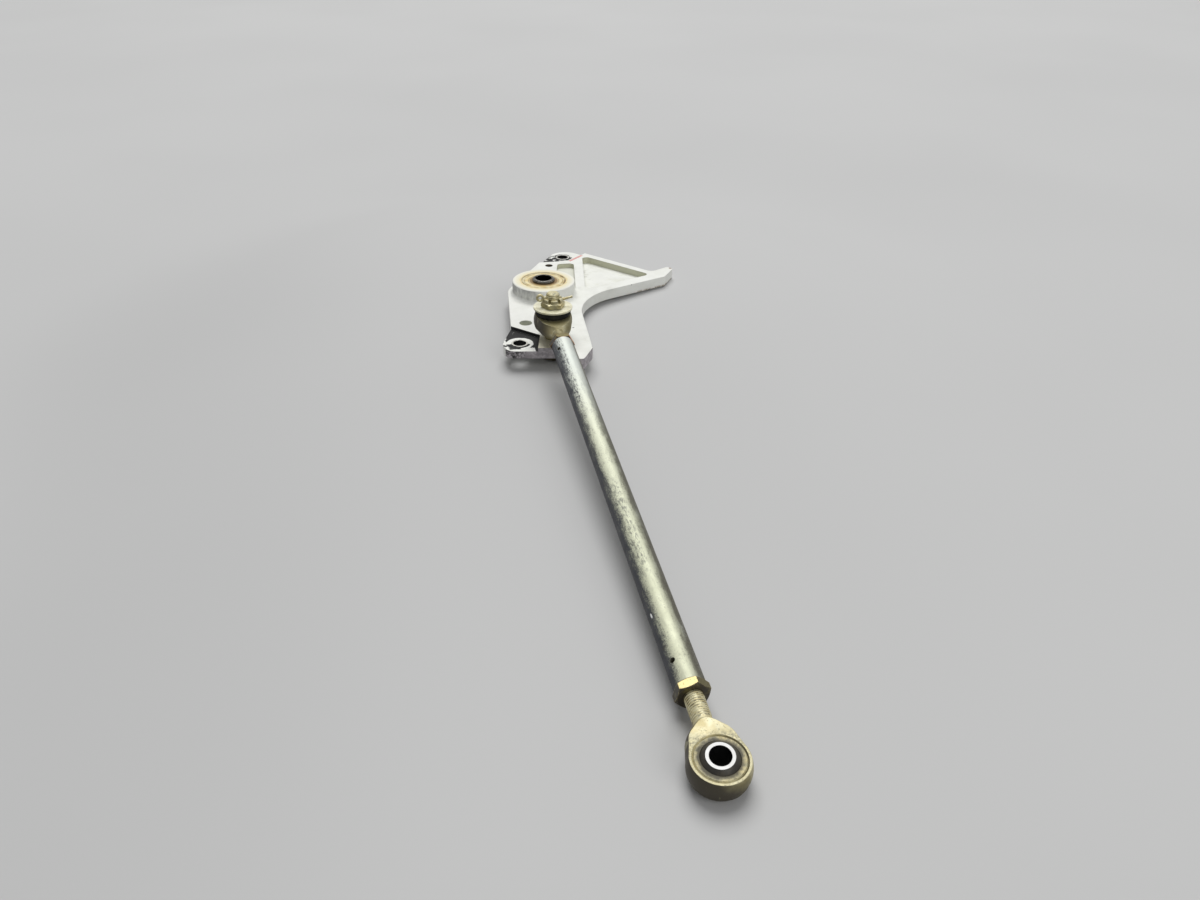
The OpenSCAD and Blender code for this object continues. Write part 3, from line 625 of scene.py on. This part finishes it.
    def lay_ear_paint(self):
        """Black paint left on the two ears; gives its mask."""
        ear_height = self.product(self.span(self.over_ear, -0.4, -0.1), self.below_top)
        patch = self.cloud(300.0, 3.0, 0.6)
        painted = self.most(self.front_paint(ear_height, patch), self.rear_paint(ear_height, patch))
        self.lay(self.look.paint, painted, 0.97)
        return painted

    def lay_red_line(self):
        """Red line along the rear ear's step: two strokes with a pink wash between."""
        width = self.look.line_width
        across = self.beyond(LINE_START, LINE_ACROSS)
        stroke = self.product(self.stripe(self.beyond(LINE_START, LINE_ALONG), 0.5, 15.5, 0.6),
                              self.flat, self.at_top)
        self.lay(self.look.wash, stroke, self.band(across, 0.0, width, 0.25 * MM), 0.6)
        strokes = self.most(self.stripe(across, 0, 0.4, 0.15),
                            self.band(across, width - 0.4 * MM, width, 0.15 * MM))
        self.lay(self.look.line, stroke, strokes, self.ramp(self.cloud(700.0, 2.0), 0.28, 0.42), 0.9)

    def lay_small_marks(self):
        """A dark spot by the rod, a nick on the arm's edge and a brown chip on the finger."""
        look = self.look
        for mark, size, spot in ((ROD_SPOT, 0.75, look.paint), (ARM_NICK, 0.6, look.smudge),
                                 (FINGER_CHIP, 1.5, look.chip)):
            away = self.sway(self.vector("DISTANCE", self.place, mark), self.ragged, 1.5 * MM)
            self.lay(spot, self.span(away, size, 0.6 * size), 0.85)

    def lay_boss_film(self):
        """Cream film that has crept over the boss's top, yellowest at the bearing."""
        boss_face = self.product(self.flat, self.span(self.over_plate, 6, 7))
        self.lay(self.look.cream, boss_face, self.span(self.from_pivot, 22, 16), 0.75)
        rim = self.span(self.sway(self.from_pivot, self.ragged, 3 * MM), 16.6, 15.2)
        self.lay(self.look.grease, boss_face, rim, 0.6)


def crank_finish(look):
    """Matt silver-white metal with paint on the ears, dirt and painted shade on the front, painted light and shade
    in its recesses, and a red line.
    """
    plate = CrankSurface(look)
    grime = plate.grime(70.0, 1100.0, 0.3)
    plate.mottle(grime["Cloud"], 0.35, 0.75, look.metal, look.metal_dull)
    plate.lay_recess_shade_and_light()
    plate.lay_marks_and_shade(grime["Patches"])
    plate.lay_dirt_and_shade()
    painted = plate.lay_ear_paint()
    plate.lay_red_line()
    plate.lay_small_marks()
    plate.lay_boss_film()
    plate.shader.inputs["Specular IOR Level"].default_value = 0.12
    return plate.done(plate.between(painted, plate.uneven(0.5), 0.6))


def bearing_finish(look):
    """Rings and seals under a film of old grease, with amber rings and a dark outer edge."""
    rings = Surface("bearing_finish", 0.1, 0.04, 0.2 * MM)
    cloud = rings.grime(260.0, 1500.0, 0.4)["Cloud"]
    swirl = rings.sway(rings.around(PIVOT, UP)["Radius"], cloud, 1.6 * MM)
    rings.mottle(cloud, 0.35, 0.7, look.cream, look.grease)
    rings.lay(look.amber, rings.span(swirl, 10.4, 8.0), 0.85)
    rings.lay(look.ring_dirt, rings.span(swirl, 10.3, 8.8), 0.9)
    lines = rings.most(rings.product(rings.stripe(swirl, 14.0, 15.2, 0.3), 0.9),
                       rings.product(rings.stripe(swirl, 12.7, 13.3, 0.25), 0.6),
                       rings.product(rings.stripe(swirl, 10.1, 10.5, 0.2), 0.55))
    patchy = rings.between(rings.ramp(rings.cloud(130.0, 2.0), 0.36, 0.6), 0.35, 1.0)
    rings.lay(look.ring_dirt, lines, patchy)
    rings.lay(look.cream, rings.worn, 0.3)
    return rings.done(rings.uneven(0.40, 0.25))


def sleeve_finish(look):
    """Dark steel with a bright worn rim, and painted shade in the bore."""
    sleeve = Surface("sleeve_finish", 0.85, 0.05, 0.5 * MM)
    sleeve.mottle(sleeve.grime(300.0, 1500.0, 0.5)["Cloud"], 0.3, 0.7, look.sleeve, look.sleeve_worn)
    bore = sleeve.span(sleeve.around(PIVOT, UP)["Radius"], 5.62, 5.57)
    sleeve.lay(look.sleeve_rim, sleeve.worn, sleeve.math("SUBTRACT", 1.0, bore), 0.95)
    # Painted shade in the bore
    sleeve.lay(look.sleeve_bore_shade, bore)
    return sleeve.done(sleeve.uneven(0.34))


def bush_finish(look):
    """Bright face with spots of paint, and painted shade in black inside the bore."""
    bush = Surface("bush_finish", 0.6, 0.05, 0.2 * MM)
    bush.tone = look.bush
    bush.lay(look.paint, bush.grime(400.0, 1800.0, 0.42)["Patches"], 0.85)
    # Painted shade on the bore's walls
    bush.lay(look.bush_bore_shade, bush.ramp(bush.math("ABSOLUTE", bush.facing(UP)), 0.6, 0.2))
    bush.lay(look.bush_rim, bush.worn, 0.4)
    return bush.done(bush.uneven(0.42))


def plating_finish(name, look, first, second, grimy, shaded, metallic=0.5):
    """Plating of two colours: pale at the edges, painted shade in olive on the left and below, oily specks, and
    painted shade under the plate.
    """
    plating = Surface(name, metallic, 0.06, 0.35 * MM)
    grime = plating.grime(260.0, 1300.0, grimy)
    plating.mottle(grime["Cloud"], 0.32, 0.68, first, second)
    # Painted shade: olive on the faces turned from the top right, as strong as shaded
    turned = plating.sway(plating.facing(Vector((0.45, 0.1, 0.89))), grime["Cloud"], 0.5)
    plating.lay(look.olive, plating.ramp(turned, 0.5, -0.25), shaded)
    plating.lay(look.grime, grime["Patches"], 0.5)
    plating.lay(look.dirt, grime["Specks"], 0.45)
    plating.lay(look.pale, plating.worn, 0.75)
    # Painted shade under the plate's underside
    plating.lay(look.grime, plating.span(plating.beyond(PIVOT, UP), 0.5, -0.5), 0.85)
    return plating.done(plating.uneven(0.40))


def nut_finish(name, look, top, right, edge):
    """Jam nut: painted light on its flats, the top flat and the right flat each in a colour for how light falls on
    it, edges of their own colour, and the other faces dark: painted shade with oily specks.
    """
    nut = Surface(name, 0.5, 0.06, 0.5 * MM)
    grime = nut.grime(260.0, 1300.0, 0.35)
    nut.mottle(grime["Cloud"], 0.28, 0.52, look.olive, look.grime)
    # Painted light and shade: the right flat and the top flat each take the colour given for them
    nut.lay(right, nut.ramp(nut.facing(SIDE), 0.5, 0.7), 0.85)
    nut.lay(top, nut.ramp(nut.facing(ROD_LIFT), 0.80, 0.90), 0.95)
    nut.lay(look.dirt, grime["Specks"], 0.5)
    nut.lay(edge, nut.worn, 0.85)
    return nut.done(nut.uneven(0.42))


def rod_end_finish(name, look, ball, toward, lower_shade, flanks, darkened):
    """Plated rod end: khaki milled faces and turned sides darkened by painted shade, with dirt on the faces and in
    the thread.
    """
    end = Surface(name, 0.35, 0.08, 0.4 * MM)
    along = end.around(ball, toward)["Along"]
    radius = end.around(ball, ROD_LIFT)["Radius"]
    grime = end.grime(210.0, 1200.0, 0.3)
    lift = end.facing(ROD_LIFT)
    face = end.ramp(lift, 0.90, 0.97)
    end.mottle(grime["Cloud"], 0.35, 0.70, look.plating, look.pale)
    end.lay(look.khaki, face, end.between(end.span(along, 8.5, 13), 0.7, 0.1))

    # Turned sides, in painted shade: olive as they lean away from the top right and on the right, brown-black
    # below and on the left; pale streaks
    leaning = end.sway(end.facing(Vector((0.5, -0.1, 0.86))), grime["Cloud"], 0.5)
    sideways = end.sway(end.facing(SIDE), grime["Cloud"], 0.4)
    head = end.span(along, 20, 10)
    end.lay(look.olive, end.ramp(leaning, 0.85, 0.35), head, 0.85)
    end.lay(look.grime, end.ramp(leaning, 0.55, 0.05), head, lower_shade)
    end.lay(look.olive, end.ramp(sideways, 0.2, 0.55), head, flanks)
    end.lay(look.grime, end.ramp(sideways, -0.1, -0.55), head, flanks)
    streak = end.ramp(end.cloud(260.0, stretch=(1, 1, 0.25)), 0.60, 0.68)
    end.lay(look.pale, streak, end.ramp(leaning, 0.3, -0.2), head, 0.3)

    # Painted shade in olive on the face and the front of the head, as strong as darkened
    brown = end.most(end.ramp(lift, 0.55, 0.9), end.product(end.ramp(leaning, 0.95, 0.45), 0.8))
    end.lay(look.olive, brown, end.ramp(sideways, -0.8, -0.45), end.span(along, 24, 19), darkened)

    # Grey dirt on the face, thickest toward the neck, specks, and a thin dark line at the left of the race
    dust = end.ramp(end.cloud(1000.0, 5.0, 0.75), 0.36, 0.64)
    thicker = end.between(end.span(along, -4, 7), 0.35, 1.0)
    end.lay(look.dust, face, dust, thicker, end.span(along, 12.5, 9), 0.75)
    end.lay(look.dirt, face, grime["Specks"], 0.5)
    line = end.stripe(radius, 9.3, 9.75, 0.12)
    end.lay(look.dirt, line, face, end.span(end.beyond(ball, SIDE), 2, -5), 0.75)

    # Oily dirt on the stud, and edges rubbed pale
    oily = end.ramp(end.cloud(420.0), 0.44, 0.58)
    end.lay(look.dirt, end.span(along, 18.6, 19.4), oily, 0.8)
    end.lay(look.pale, end.worn, end.span(radius, 9.9, 10.4), 0.5)
    return end.done(end.uneven(0.5))


def steel_finish(name, look, ball):
    """Bright steel of a ball: bright on its end faces, with painted shade, brown-black on the flank and black in
    the bore.
    """
    steel = Surface(name, 0.4, 0.02, 0.2 * MM)
    radius = steel.around(ball, ROD_LIFT)["Radius"]
    cloud = steel.grime(300.0, 1600.0, 0.35)["Cloud"]
    flank = steel.ramp(steel.math("ABSOLUTE", steel.facing(ROD_LIFT)), 0.95, 0.86)
    steel.mottle(cloud, 0.3, 0.75, look.ball, look.ball_dull)
    # Painted shade on the flank, and in the bore below
    steel.lay(steel.mix(steel.ramp(cloud, 0.4, 0.65), look.dirt, look.grime), flank, 0.97)
    steel.lay(look.ball_bore_shade, flank, steel.span(radius, 4.6, 4.3))
    return steel.done(steel.between(flank, 0.55, 0.42))


def race_finish(name, look, ball):
    """Plated race: khaki face with grey dirt, thicker at the back, and painted shade round the ball: a ragged
    black ring and a black bore wall.
    """
    race = Surface(name, 0.3, 0.08, 0.25 * MM)
    radius = race.around(ball, ROD_LIFT)["Radius"]
    grime = race.grime(260.0, 1500.0, 0.3)
    race.mottle(grime["Cloud"], 0.35, 0.70, look.khaki, look.plating)
    dust = race.cloud(1000.0, 5.0, 0.75)
    behind = race.ramp(race.beyond(ball, Vector((0.35, 0.94, 0))), -7 * MM, 6 * MM)
    race.lay(look.dust, race.ramp(dust, 0.36, 0.64), race.between(behind, 0.4, 1.0), 0.85)
    race.lay(look.dirt, grime["Specks"], 0.5)
    # Painted shade: a ragged black ring round the ball
    ragged = race.sway(race.sway(radius, dust, 2 * MM), grime["Cloud"], 4 * MM)
    race.lay(look.dirt, race.span(ragged, 9.2, 7.6), 0.85)
    # Painted shade on the steep wall next to the ball
    steep = race.ramp(race.math("ABSOLUTE", race.facing(ROD_LIFT)), 0.9, 0.7)
    race.lay(look.dirt, steep, race.span(radius, 8.8, 8.4))
    return race.done(race.uneven(0.55))


def tube_finish(look):
    """Satin grey-green tube: a painted highlight along its upper left, painted shade on both sides, scuffed near
    the crank.
    """
    tube = Surface("tube_finish", 0.3, 0.12, 0.3 * MM)
    rod = tube.around(FAR_BALL, ROD_AXIS)
    along, turn = rod["Along"], rod["Turn"]
    streaks = tube.cloud(420.0, 4.0, 0.65, (1, 0.2, 1))
    fine = tube.cloud(1500.0, 4.0, 0.75)
    down = tube.span(along, 60, 250)

    # Painted highlight: pale where the surface faces the upper left, fading unevenly into painted shade on the
    # sides
    rubbed = tube.facing(ROD_LIFT * 0.945 - SIDE * 0.326)
    highlight_band = tube.ramp(tube.sway(tube.sway(rubbed, fine, 0.9), streaks, 0.7), 0.58, 1.04)
    tube.tone = tube.mix(highlight_band, look.tube_stain_and_shade, look.tube_highlight)
    # Painted highlight in blue-grey near the crank, on the lit side
    tube.lay(look.tube_blue_highlight, tube.span(along, 140, 50), tube.ramp(rubbed, 0.25, 0.65), 0.8)
    tube.lay(look.tube, tube.ramp(streaks, 0.50, 0.66), down, 0.6)
    # Painted highlight turning yellower toward the near end
    tube.lay(look.tube_near_highlight, highlight_band, down, 0.55)

    # Painted shade on the left side, in the scuffs' blue-black
    left = tube.sway(tube.sway(tube.facing(SIDE), fine, 0.9), streaks, 0.7)
    tube.lay(look.scuff, tube.ramp(left, -0.45, -0.95), 0.92)

    # Brown-black mottling on the right, thicker toward the near end: partly stain, partly painted shade on that
    # side; and patches there, kept off the painted highlight
    right = tube.span(tube.beyond(FAR_BALL, SIDE), -1, 5)
    tube.lay(look.grime, right, tube.ramp(fine, 0.44, 0.60), tube.between(down, 0.25, 0.85))
    tube.lay(look.grime, tube.grime(200.0, 1900.0, 0.4)["Patches"], tube.span(along, 200, 285),
             tube.ramp(rubbed, 0.98, 0.85), 0.5)

    # Blue-black scuffs on the upper left near the crank and at the middle, and thin ones between
    scuff = tube.cloud(1050.0, 4.0, 0.75, (1, 0.3, 1))
    by_crank = tube.product(tube.band(turn, 2.05, 3.1, 0.4), tube.stripe(along, 46, 92, 28))
    by_middle = tube.product(tube.stripe(along, 180, 222, 18), tube.band(turn, 1.75, 2.6, 0.3), 0.7)
    thick = tube.product(tube.most(by_crank, by_middle), tube.ramp(scuff, 0.48, 0.58), 0.85)
    thin = tube.product(tube.ramp(scuff, 0.66, 0.70), tube.span(along, 200, 60), 0.5)
    tube.lay(look.scuff, tube.most(thick, thin))

    # One white fleck on the left
    fleck = tube.vector("MULTIPLY", tube.vector("SUBTRACT", tube.place, look.fleck), (1, 0.35, 1))
    tube.lay(look.fleck_white, tube.span(tube.vector("LENGTH", fleck), 0.55, 0.4))
    return tube.done(tube.uneven(0.55))


def rubber_finish(look):
    """Black rubber with a dull film."""
    rubber = Surface("rubber_finish", 0.0, 0.15, 0.2 * MM)
    grime = rubber.grime(300.0, 1400.0, 0.4)
    rubber.mottle(grime["Cloud"], 0.4, 0.75, look.rubber, look.rubber_film)
    rubber.lay(look.rubber_specks, grime["Specks"], 0.3)
    rubber.shader.inputs["Specular IOR Level"].default_value = 0.15
    return rubber.done(rubber.uneven(0.75, 0.15))


def thread_finish(name, look, start, axis, root, darkened):
    """Pale plated thread, darkened toward olive by a share, with broken lines of oily dirt between the turns."""
    thread = Surface(name, 0.45, 0.05, 0.1 * MM)
    radius = thread.around(start, axis)["Radius"]
    thread.mottle(thread.grime(420.0, 1600.0, 0.4)["Cloud"], 0.35, 0.65, look.pale, look.plating)
    thread.lay(look.olive, darkened)
    broken = thread.ramp(thread.cloud(300.0), 0.47, 0.58)
    thread.lay(look.dirt, thread.ramp(radius, root + 0.16 * MM, root + 0.06 * MM), broken, 0.85)
    return thread.done(thread.uneven(0.42))


def new_piece(name, points, faces, smooth=True):
    """A mesh object made of points and faces, in the frame."""
    mesh = bpy.data.meshes.new(name)
    mesh.from_pydata([tuple(p) for p in points], [], faces)
    mesh.validate()
    mesh.polygons.foreach_set("use_smooth", [smooth] * len(mesh.polygons))
    piece = bpy.data.objects.new(name, mesh)
    bpy.context.scene.collection.objects.link(piece)
    return piece


def thread_piece(name, pitch, centre, toward, start, end, root, crest):
    """A helical ridge along toward, from start to end; it fades over a quarter turn at each end."""
    lift = toward.cross(SIDE)
    count = int((end - start - pitch) / pitch * THREAD_STEPS)
    points, faces = [], []
    for i in range(count + 1):
        angle = 2 * math.pi * i / THREAD_STEPS
        out = SIDE * math.cos(angle) + lift * math.sin(angle)
        middle = start + pitch * (0.5 + i / THREAD_STEPS)
        fade = min(1, 4 * i / THREAD_STEPS, 4 * (count - i) / THREAD_STEPS)
        top = root + (crest - root) * max(fade, THREAD_LEAST)
        for offset, radius in ((-THREAD_FOOT, root), (-THREAD_CREST, top), (THREAD_CREST, top),
                               (THREAD_FOOT, root)):
            points.append(centre + toward * (middle + offset * pitch) + out * radius)
    for i in range(count):
        a, b = 4 * i, 4 * i + 4
        for j in range(4):
            k = (j + 1) % 4
            faces.append((a + j, a + k, b + k, b + j))
    faces += [(3, 2, 1, 0), tuple(4 * count + j for j in range(4))]
    return new_piece(name, points, faces, False)


def boot_piece(look):
    """Rubber ring with a swelling wall; its top is square to the bolt and its foot leans with the rod."""
    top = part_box("retaining_washer")[0].z - look.boot_gap
    foot = FAR_BALL + ROD_LIFT * (look.boot_foot + look.boot_gap)
    points, faces = [], []
    for i in range(BOOT_STEPS):
        angle = 2 * math.pi * i / BOOT_STEPS
        out = Vector((math.cos(angle), math.sin(angle), 0))
        for outer in (True, False):
            for j in range(BOOT_ROWS + 1):
                t = j / BOOT_ROWS if outer else 1 - j / BOOT_ROWS
                lip = look.boot_lip * max(0, 1 - 6 * min(t, 1 - t))
                swollen = look.boot_outer + look.boot_bulge * math.sin(math.pi * t)
                place = FAR_BALL + out * (swollen - lip if outer else look.boot_inner + lip)
                bottom = foot.z - (ROD_LIFT.y * (place.y - foot.y)) / ROD_LIFT.z
                points.append(Vector((place.x, place.y, bottom + (top - bottom) * t)))
    size = 2 * (BOOT_ROWS + 1)
    for i in range(BOOT_STEPS):
        a, b = i * size, ((i + 1) % BOOT_STEPS) * size
        for j in range(size):
            k = (j + 1) % size
            faces.append((a + j, b + j, b + k, a + k))
    piece = new_piece("dust_boot_rubber", points, faces)
    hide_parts("dust_boot")
    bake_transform(piece)
    return piece


class BELLCRANK_OT_effects(bpy.types.Operator):
    """Builds the shared effects: places round an axis, worn edges, grime and grain"""

    bl_idname = "bellcrank.effects"
    bl_label = "Shared effects"

    def execute(self, context):
        EFFECTS.clear()
        for build in (axis_effect, edge_effect, grime_effect, grain_effect):
            build()
        return {"FINISHED"}


class BELLCRANK_OT_crank(bpy.types.Operator):
    """Finishes the crank plate and its ear bushes"""

    bl_idname = "bellcrank.crank"
    bl_label = "Crank plate and bushes"

    def execute(self, context):
        look = context.scene.bellcrank.crank
        dress(crank_finish(look), "crank_plate")
        dress(bush_finish(look), "front_ear_bush", "rear_ear_bush")
        return {"FINISHED"}


class BELLCRANK_OT_bearing(bpy.types.Operator):
    """Finishes the pivot bearing and its sleeve"""

    bl_idname = "bellcrank.bearing"
    bl_label = "Pivot bearing"

    def execute(self, context):
        look = context.scene.bellcrank.crank
        dress(bearing_finish(look), "bearing_outer_ring", "bearing_inner_ring", "upper_seal", "lower_seal")
        dress(sleeve_finish(look), "pivot_sleeve")
        dress(steel_finish("bearing_ball_finish", context.scene.bellcrank.rod, PIVOT), "bearing_balls")
        return {"FINISHED"}


class BELLCRANK_OT_bolt(bpy.types.Operator):
    """Finishes the bolt, washers, spacer, castle nut and cotter pin"""

    bl_idname = "bellcrank.bolt"
    bl_label = "Bolted joint"

    def execute(self, context):
        look = context.scene.bellcrank.rod
        fastener = plating_finish("fastener_finish", look, look.plating, look.pale, 0.42, 0.75)
        dress(fastener, "rod_bolt", "bolt_head_washer", "ball_spacer", "thin_washer", "castle_nut")
        washer = plating_finish("washer_finish", look, look.washer, look.pale, 0.2, 0.4, metallic=0.2)
        dress(washer, "retaining_washer")
        dress(plating_finish("pin_finish", look, look.pale, look.plating, 0.3, 0.6), "cotter_pin")
        return {"FINISHED"}


class BELLCRANK_OT_boot(bpy.types.Operator):
    """Makes the rubber dust boot, its foot leaning with the rod"""

    bl_idname = "bellcrank.boot"
    bl_label = "Dust boot"

    def execute(self, context):
        look = context.scene.bellcrank.rod
        dress(rubber_finish(look), "dust_boot", boot_piece(look))
        return {"FINISHED"}


class BELLCRANK_OT_rod_ends(bpy.types.Operator):
    """Finishes the rod ends, races, swivel balls and jam nuts"""

    bl_idname = "bellcrank.rod_ends"
    bl_label = "Rod ends"

    def execute(self, context):
        look = context.scene.bellcrank.rod
        # Per end: shares of painted shade below, on the sides and on the head's front
        ends = (("far", FAR_BALL, ROD_AXIS, 0.45, 0.95, 0.85), ("near", NEAR_BALL, -ROD_AXIS, 0.95, 0.3, 0.0))
        for end, ball, toward, lower_shade, flanks, darkened in ends:
            head = rod_end_finish(end + "_end_finish", look, ball, toward, lower_shade, flanks, darkened)
            dress(head, end + "_rod_end")
            dress(race_finish(end + "_race_finish", look, ball), end + "_race")
            dress(steel_finish(end + "_ball_finish", look, ball), end + "_ball")
        # Far nut: painted shade in olive on the top flat, painted highlight on the right flat; near nut: painted
        # highlight on the top flat, painted shade in olive on the right flat
        dress(nut_finish("far_nut_finish", look, look.olive, look.copper, look.copper), "far_jam_nut")
        dress(nut_finish("near_nut_finish", look, look.gold_highlight, look.olive, look.plating), "near_jam_nut")
        return {"FINISHED"}


class BELLCRANK_OT_threads(bpy.types.Operator):
    """Makes the threads on the rod ends' studs and on the bolt's end"""

    bl_idname = "bellcrank.threads"
    bl_label = "Stud threads"

    def execute(self, context):
        look = context.scene.bellcrank.rod
        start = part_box("castle_nut")[1].z - 0.8 * MM
        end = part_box("rod_bolt")[1].z - 0.7 * MM
        bolt = Vector((FAR_BALL.x, FAR_BALL.y, 0))
        self.add_thread(look, "bolt_thread", "crank", bolt, UP, start, end, look.bolt_root,
                        look.bolt_crest, 0.0)
        for name, ball, toward, nut, darkened in (("far_thread", FAR_BALL, ROD_AXIS, "far_jam_nut", 0.6),
                                                 ("near_thread", NEAR_BALL, -ROD_AXIS, "near_jam_nut", 0.0)):
            end = min((v.co - ball).dot(toward) for v in frame["nodes"][nut].data.vertices)
            self.add_thread(look, name, "pushrod", ball, toward, look.thread_start, end, look.thread_root,
                            look.thread_crest, darkened)
        return {"FINISHED"}

    def add_thread(self, look, name, body, centre, toward, start, end, root, crest, darkened):
        piece = thread_piece(name, look.thread_pitch, centre, toward, start, end, root, crest)
        dress(thread_finish(name + "_finish", look, centre, toward, root, darkened), piece)
        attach(piece, body)


class BELLCRANK_OT_tube(bpy.types.Operator):
    """Finishes the rod's tube and its plugs"""

    bl_idname = "bellcrank.tube"
    bl_label = "Tube"

    def execute(self, context):
        look = context.scene.bellcrank.rod
        dress(tube_finish(look), "pushrod_tube")
        dress(plating_finish("plug_finish", look, look.tube, look.tube_stain_and_shade, 0.4, 0.3),
              "far_tube_plug", "near_tube_plug")
        return {"FINISHED"}


class BELLCRANK_OT_studio(bpy.types.Operator):
    """Sets up the floor, the light and the camera"""

    bl_idname = "bellcrank.studio"
    bl_label = "Studio"

    def execute(self, context):
        scene = context.scene
        look = scene.bellcrank.studio
        scene.view_settings.view_transform = "Standard"
        self.add_floor(look)
        self.add_light(scene, "key_light", look.key_power, KEY_SIZE, KEY_PLACE)
        self.add_light(scene, "fill_light", look.fill_power, FILL_SIZE, FILL_PLACE)
        self.add_world(scene, look)
        self.add_camera(scene, look)
        return {"FINISHED"}

    def add_floor(self, look):
        """A plain floor that falls away round the part, so that the swinging rod clears it."""
        half = look.floor_size / 2
        back, front = REAR_EAR.y, NEAR_BALL.y
        edges = ((-look.fall_end, look.fall_end), (front - look.fall_end, back + look.fall_end))
        steps = range(FLOOR_STEPS + 1)
        columns, rows = ([-half, *(low + (high - low) * i / FLOOR_STEPS for i in steps), half]
                         for low, high in edges)
        corners = []
        for x in columns:
            for y in rows:
                away = math.hypot(x, max(y - back, front - y, 0))
                t = min(max((away - look.fall_start) / (look.fall_end - look.fall_start), 0), 1)
                drop = look.fall_depth * t * t * (3 - 2 * t)
                level = look.floor_height + look.floor_rise_x * x + look.floor_rise_y * y
                corners.append((x, y, level - drop))
        count = len(rows)
        faces = [(i * count + j, (i + 1) * count + j, (i + 1) * count + j + 1, i * count + j + 1)
                 for i in range(len(columns) - 1) for j in range(count - 1)]
        floor = new_piece("floor", corners, faces)
        dress(self.floor_material(look), floor)

    def floor_material(self, look):
        material = blank_material("floor_finish")
        shade = Shade(material.node_tree)
        place = shade.add("ShaderNodeTexCoord").outputs["Object"]
        cloud = shade.ramp(shade.noise(place, 2.0, 2.0), 0.3, 0.7)
        tone = shade.mix(cloud, look.floor, [FLOOR_CLOUD * c for c in look.floor])
        matt = shade.add("ShaderNodeBsdfDiffuse", Color=tone)
        shade.put(shade.add("ShaderNodeOutputMaterial").inputs["Surface"], matt.outputs[0])
        return material

    def add_light(self, scene, name, power, size, place):
        light = bpy.data.lights.new(name, "AREA")
        light.energy = power
        light.shape = "DISK"
        light.size = size
        lamp = bpy.data.objects.new(name, light)
        aim = (LIGHT_TARGET - place).to_track_quat("-Z", "Y").to_matrix().to_4x4()
        lamp.matrix_world = Matrix.Translation(place) @ aim
        scene.collection.objects.link(lamp)

    def add_world(self, scene, look):
        """Soft light from all round, and a pale background for the camera and for what metal reflects."""
        world = bpy.data.worlds.new("studio_world")
        scene.world = world
        world.use_nodes = True
        world.node_tree.nodes.clear()
        shade = Shade(world.node_tree)
        path = shade.add("ShaderNodeLightPath").outputs
        soft = shade.add("ShaderNodeBackground", Color=look.air, Strength=look.world)
        pale = shade.add("ShaderNodeBackground", Color=look.backdrop, Strength=1.0)
        seen = shade.most(path["Is Camera Ray"], path["Is Glossy Ray"], path["Is Transmission Ray"])
        both = shade.add("ShaderNodeMixShader")
        for socket, value in zip(both.inputs, (seen, soft.outputs[0], pale.outputs[0])):
            shade.put(socket, value)
        shade.put(shade.add("ShaderNodeOutputWorld").inputs["Surface"], both.outputs[0])

    def add_camera(self, scene, look):
        camera = bpy.data.cameras.new("photo_camera")
        camera.sensor_width = SENSOR_WIDTH
        camera.lens = look.lens
        camera.clip_start = CLIP_START
        holder = bpy.data.objects.new("photo_camera", camera)
        ahead = CAMERA_RIGHT.cross(CAMERA_DOWN)
        turn = Matrix((CAMERA_RIGHT, -CAMERA_DOWN, -ahead)).transposed().to_4x4()
        holder.matrix_world = Matrix.Translation(CAMERA_PLACE) @ turn
        scene.collection.objects.link(holder)
        scene.camera = holder


STEPS = (
    BELLCRANK_OT_effects, BELLCRANK_OT_crank, BELLCRANK_OT_bearing, BELLCRANK_OT_bolt, BELLCRANK_OT_boot,
    BELLCRANK_OT_rod_ends, BELLCRANK_OT_threads, BELLCRANK_OT_tube, BELLCRANK_OT_studio,
)


class BELLCRANK_PT_panel(bpy.types.Panel):
    """Lists the pieces and their settings"""

    bl_idname = "BELLCRANK_PT_panel"
    bl_label = "Bellcrank"
    bl_space_type = "VIEW_3D"
    bl_region_type = "UI"
    bl_category = "Bellcrank"

    def draw(self, context):
        settings = context.scene.bellcrank
        for step in STEPS:
            self.layout.operator(step.bl_idname)
        for group in (settings.crank, settings.rod, settings.studio):
            box = self.layout.box()
            for name in group.__annotations__:
                box.prop(group, name)


CLASSES = (CrankLook, RodLook, StudioLook, BellcrankLook, *STEPS, BELLCRANK_PT_panel)


def register():
    for item in CLASSES:
        bpy.utils.register_class(item)
    bpy.types.Scene.bellcrank = PointerProperty(type=BellcrankLook)


def unregister():
    del bpy.types.Scene.bellcrank
    for item in reversed(CLASSES):
        bpy.utils.unregister_class(item)


def main():
    register()
    for step in STEPS:
        group, name = step.bl_idname.split(".")
        getattr(getattr(bpy.ops, group), name)()


if __name__ == "__main__":
    main()
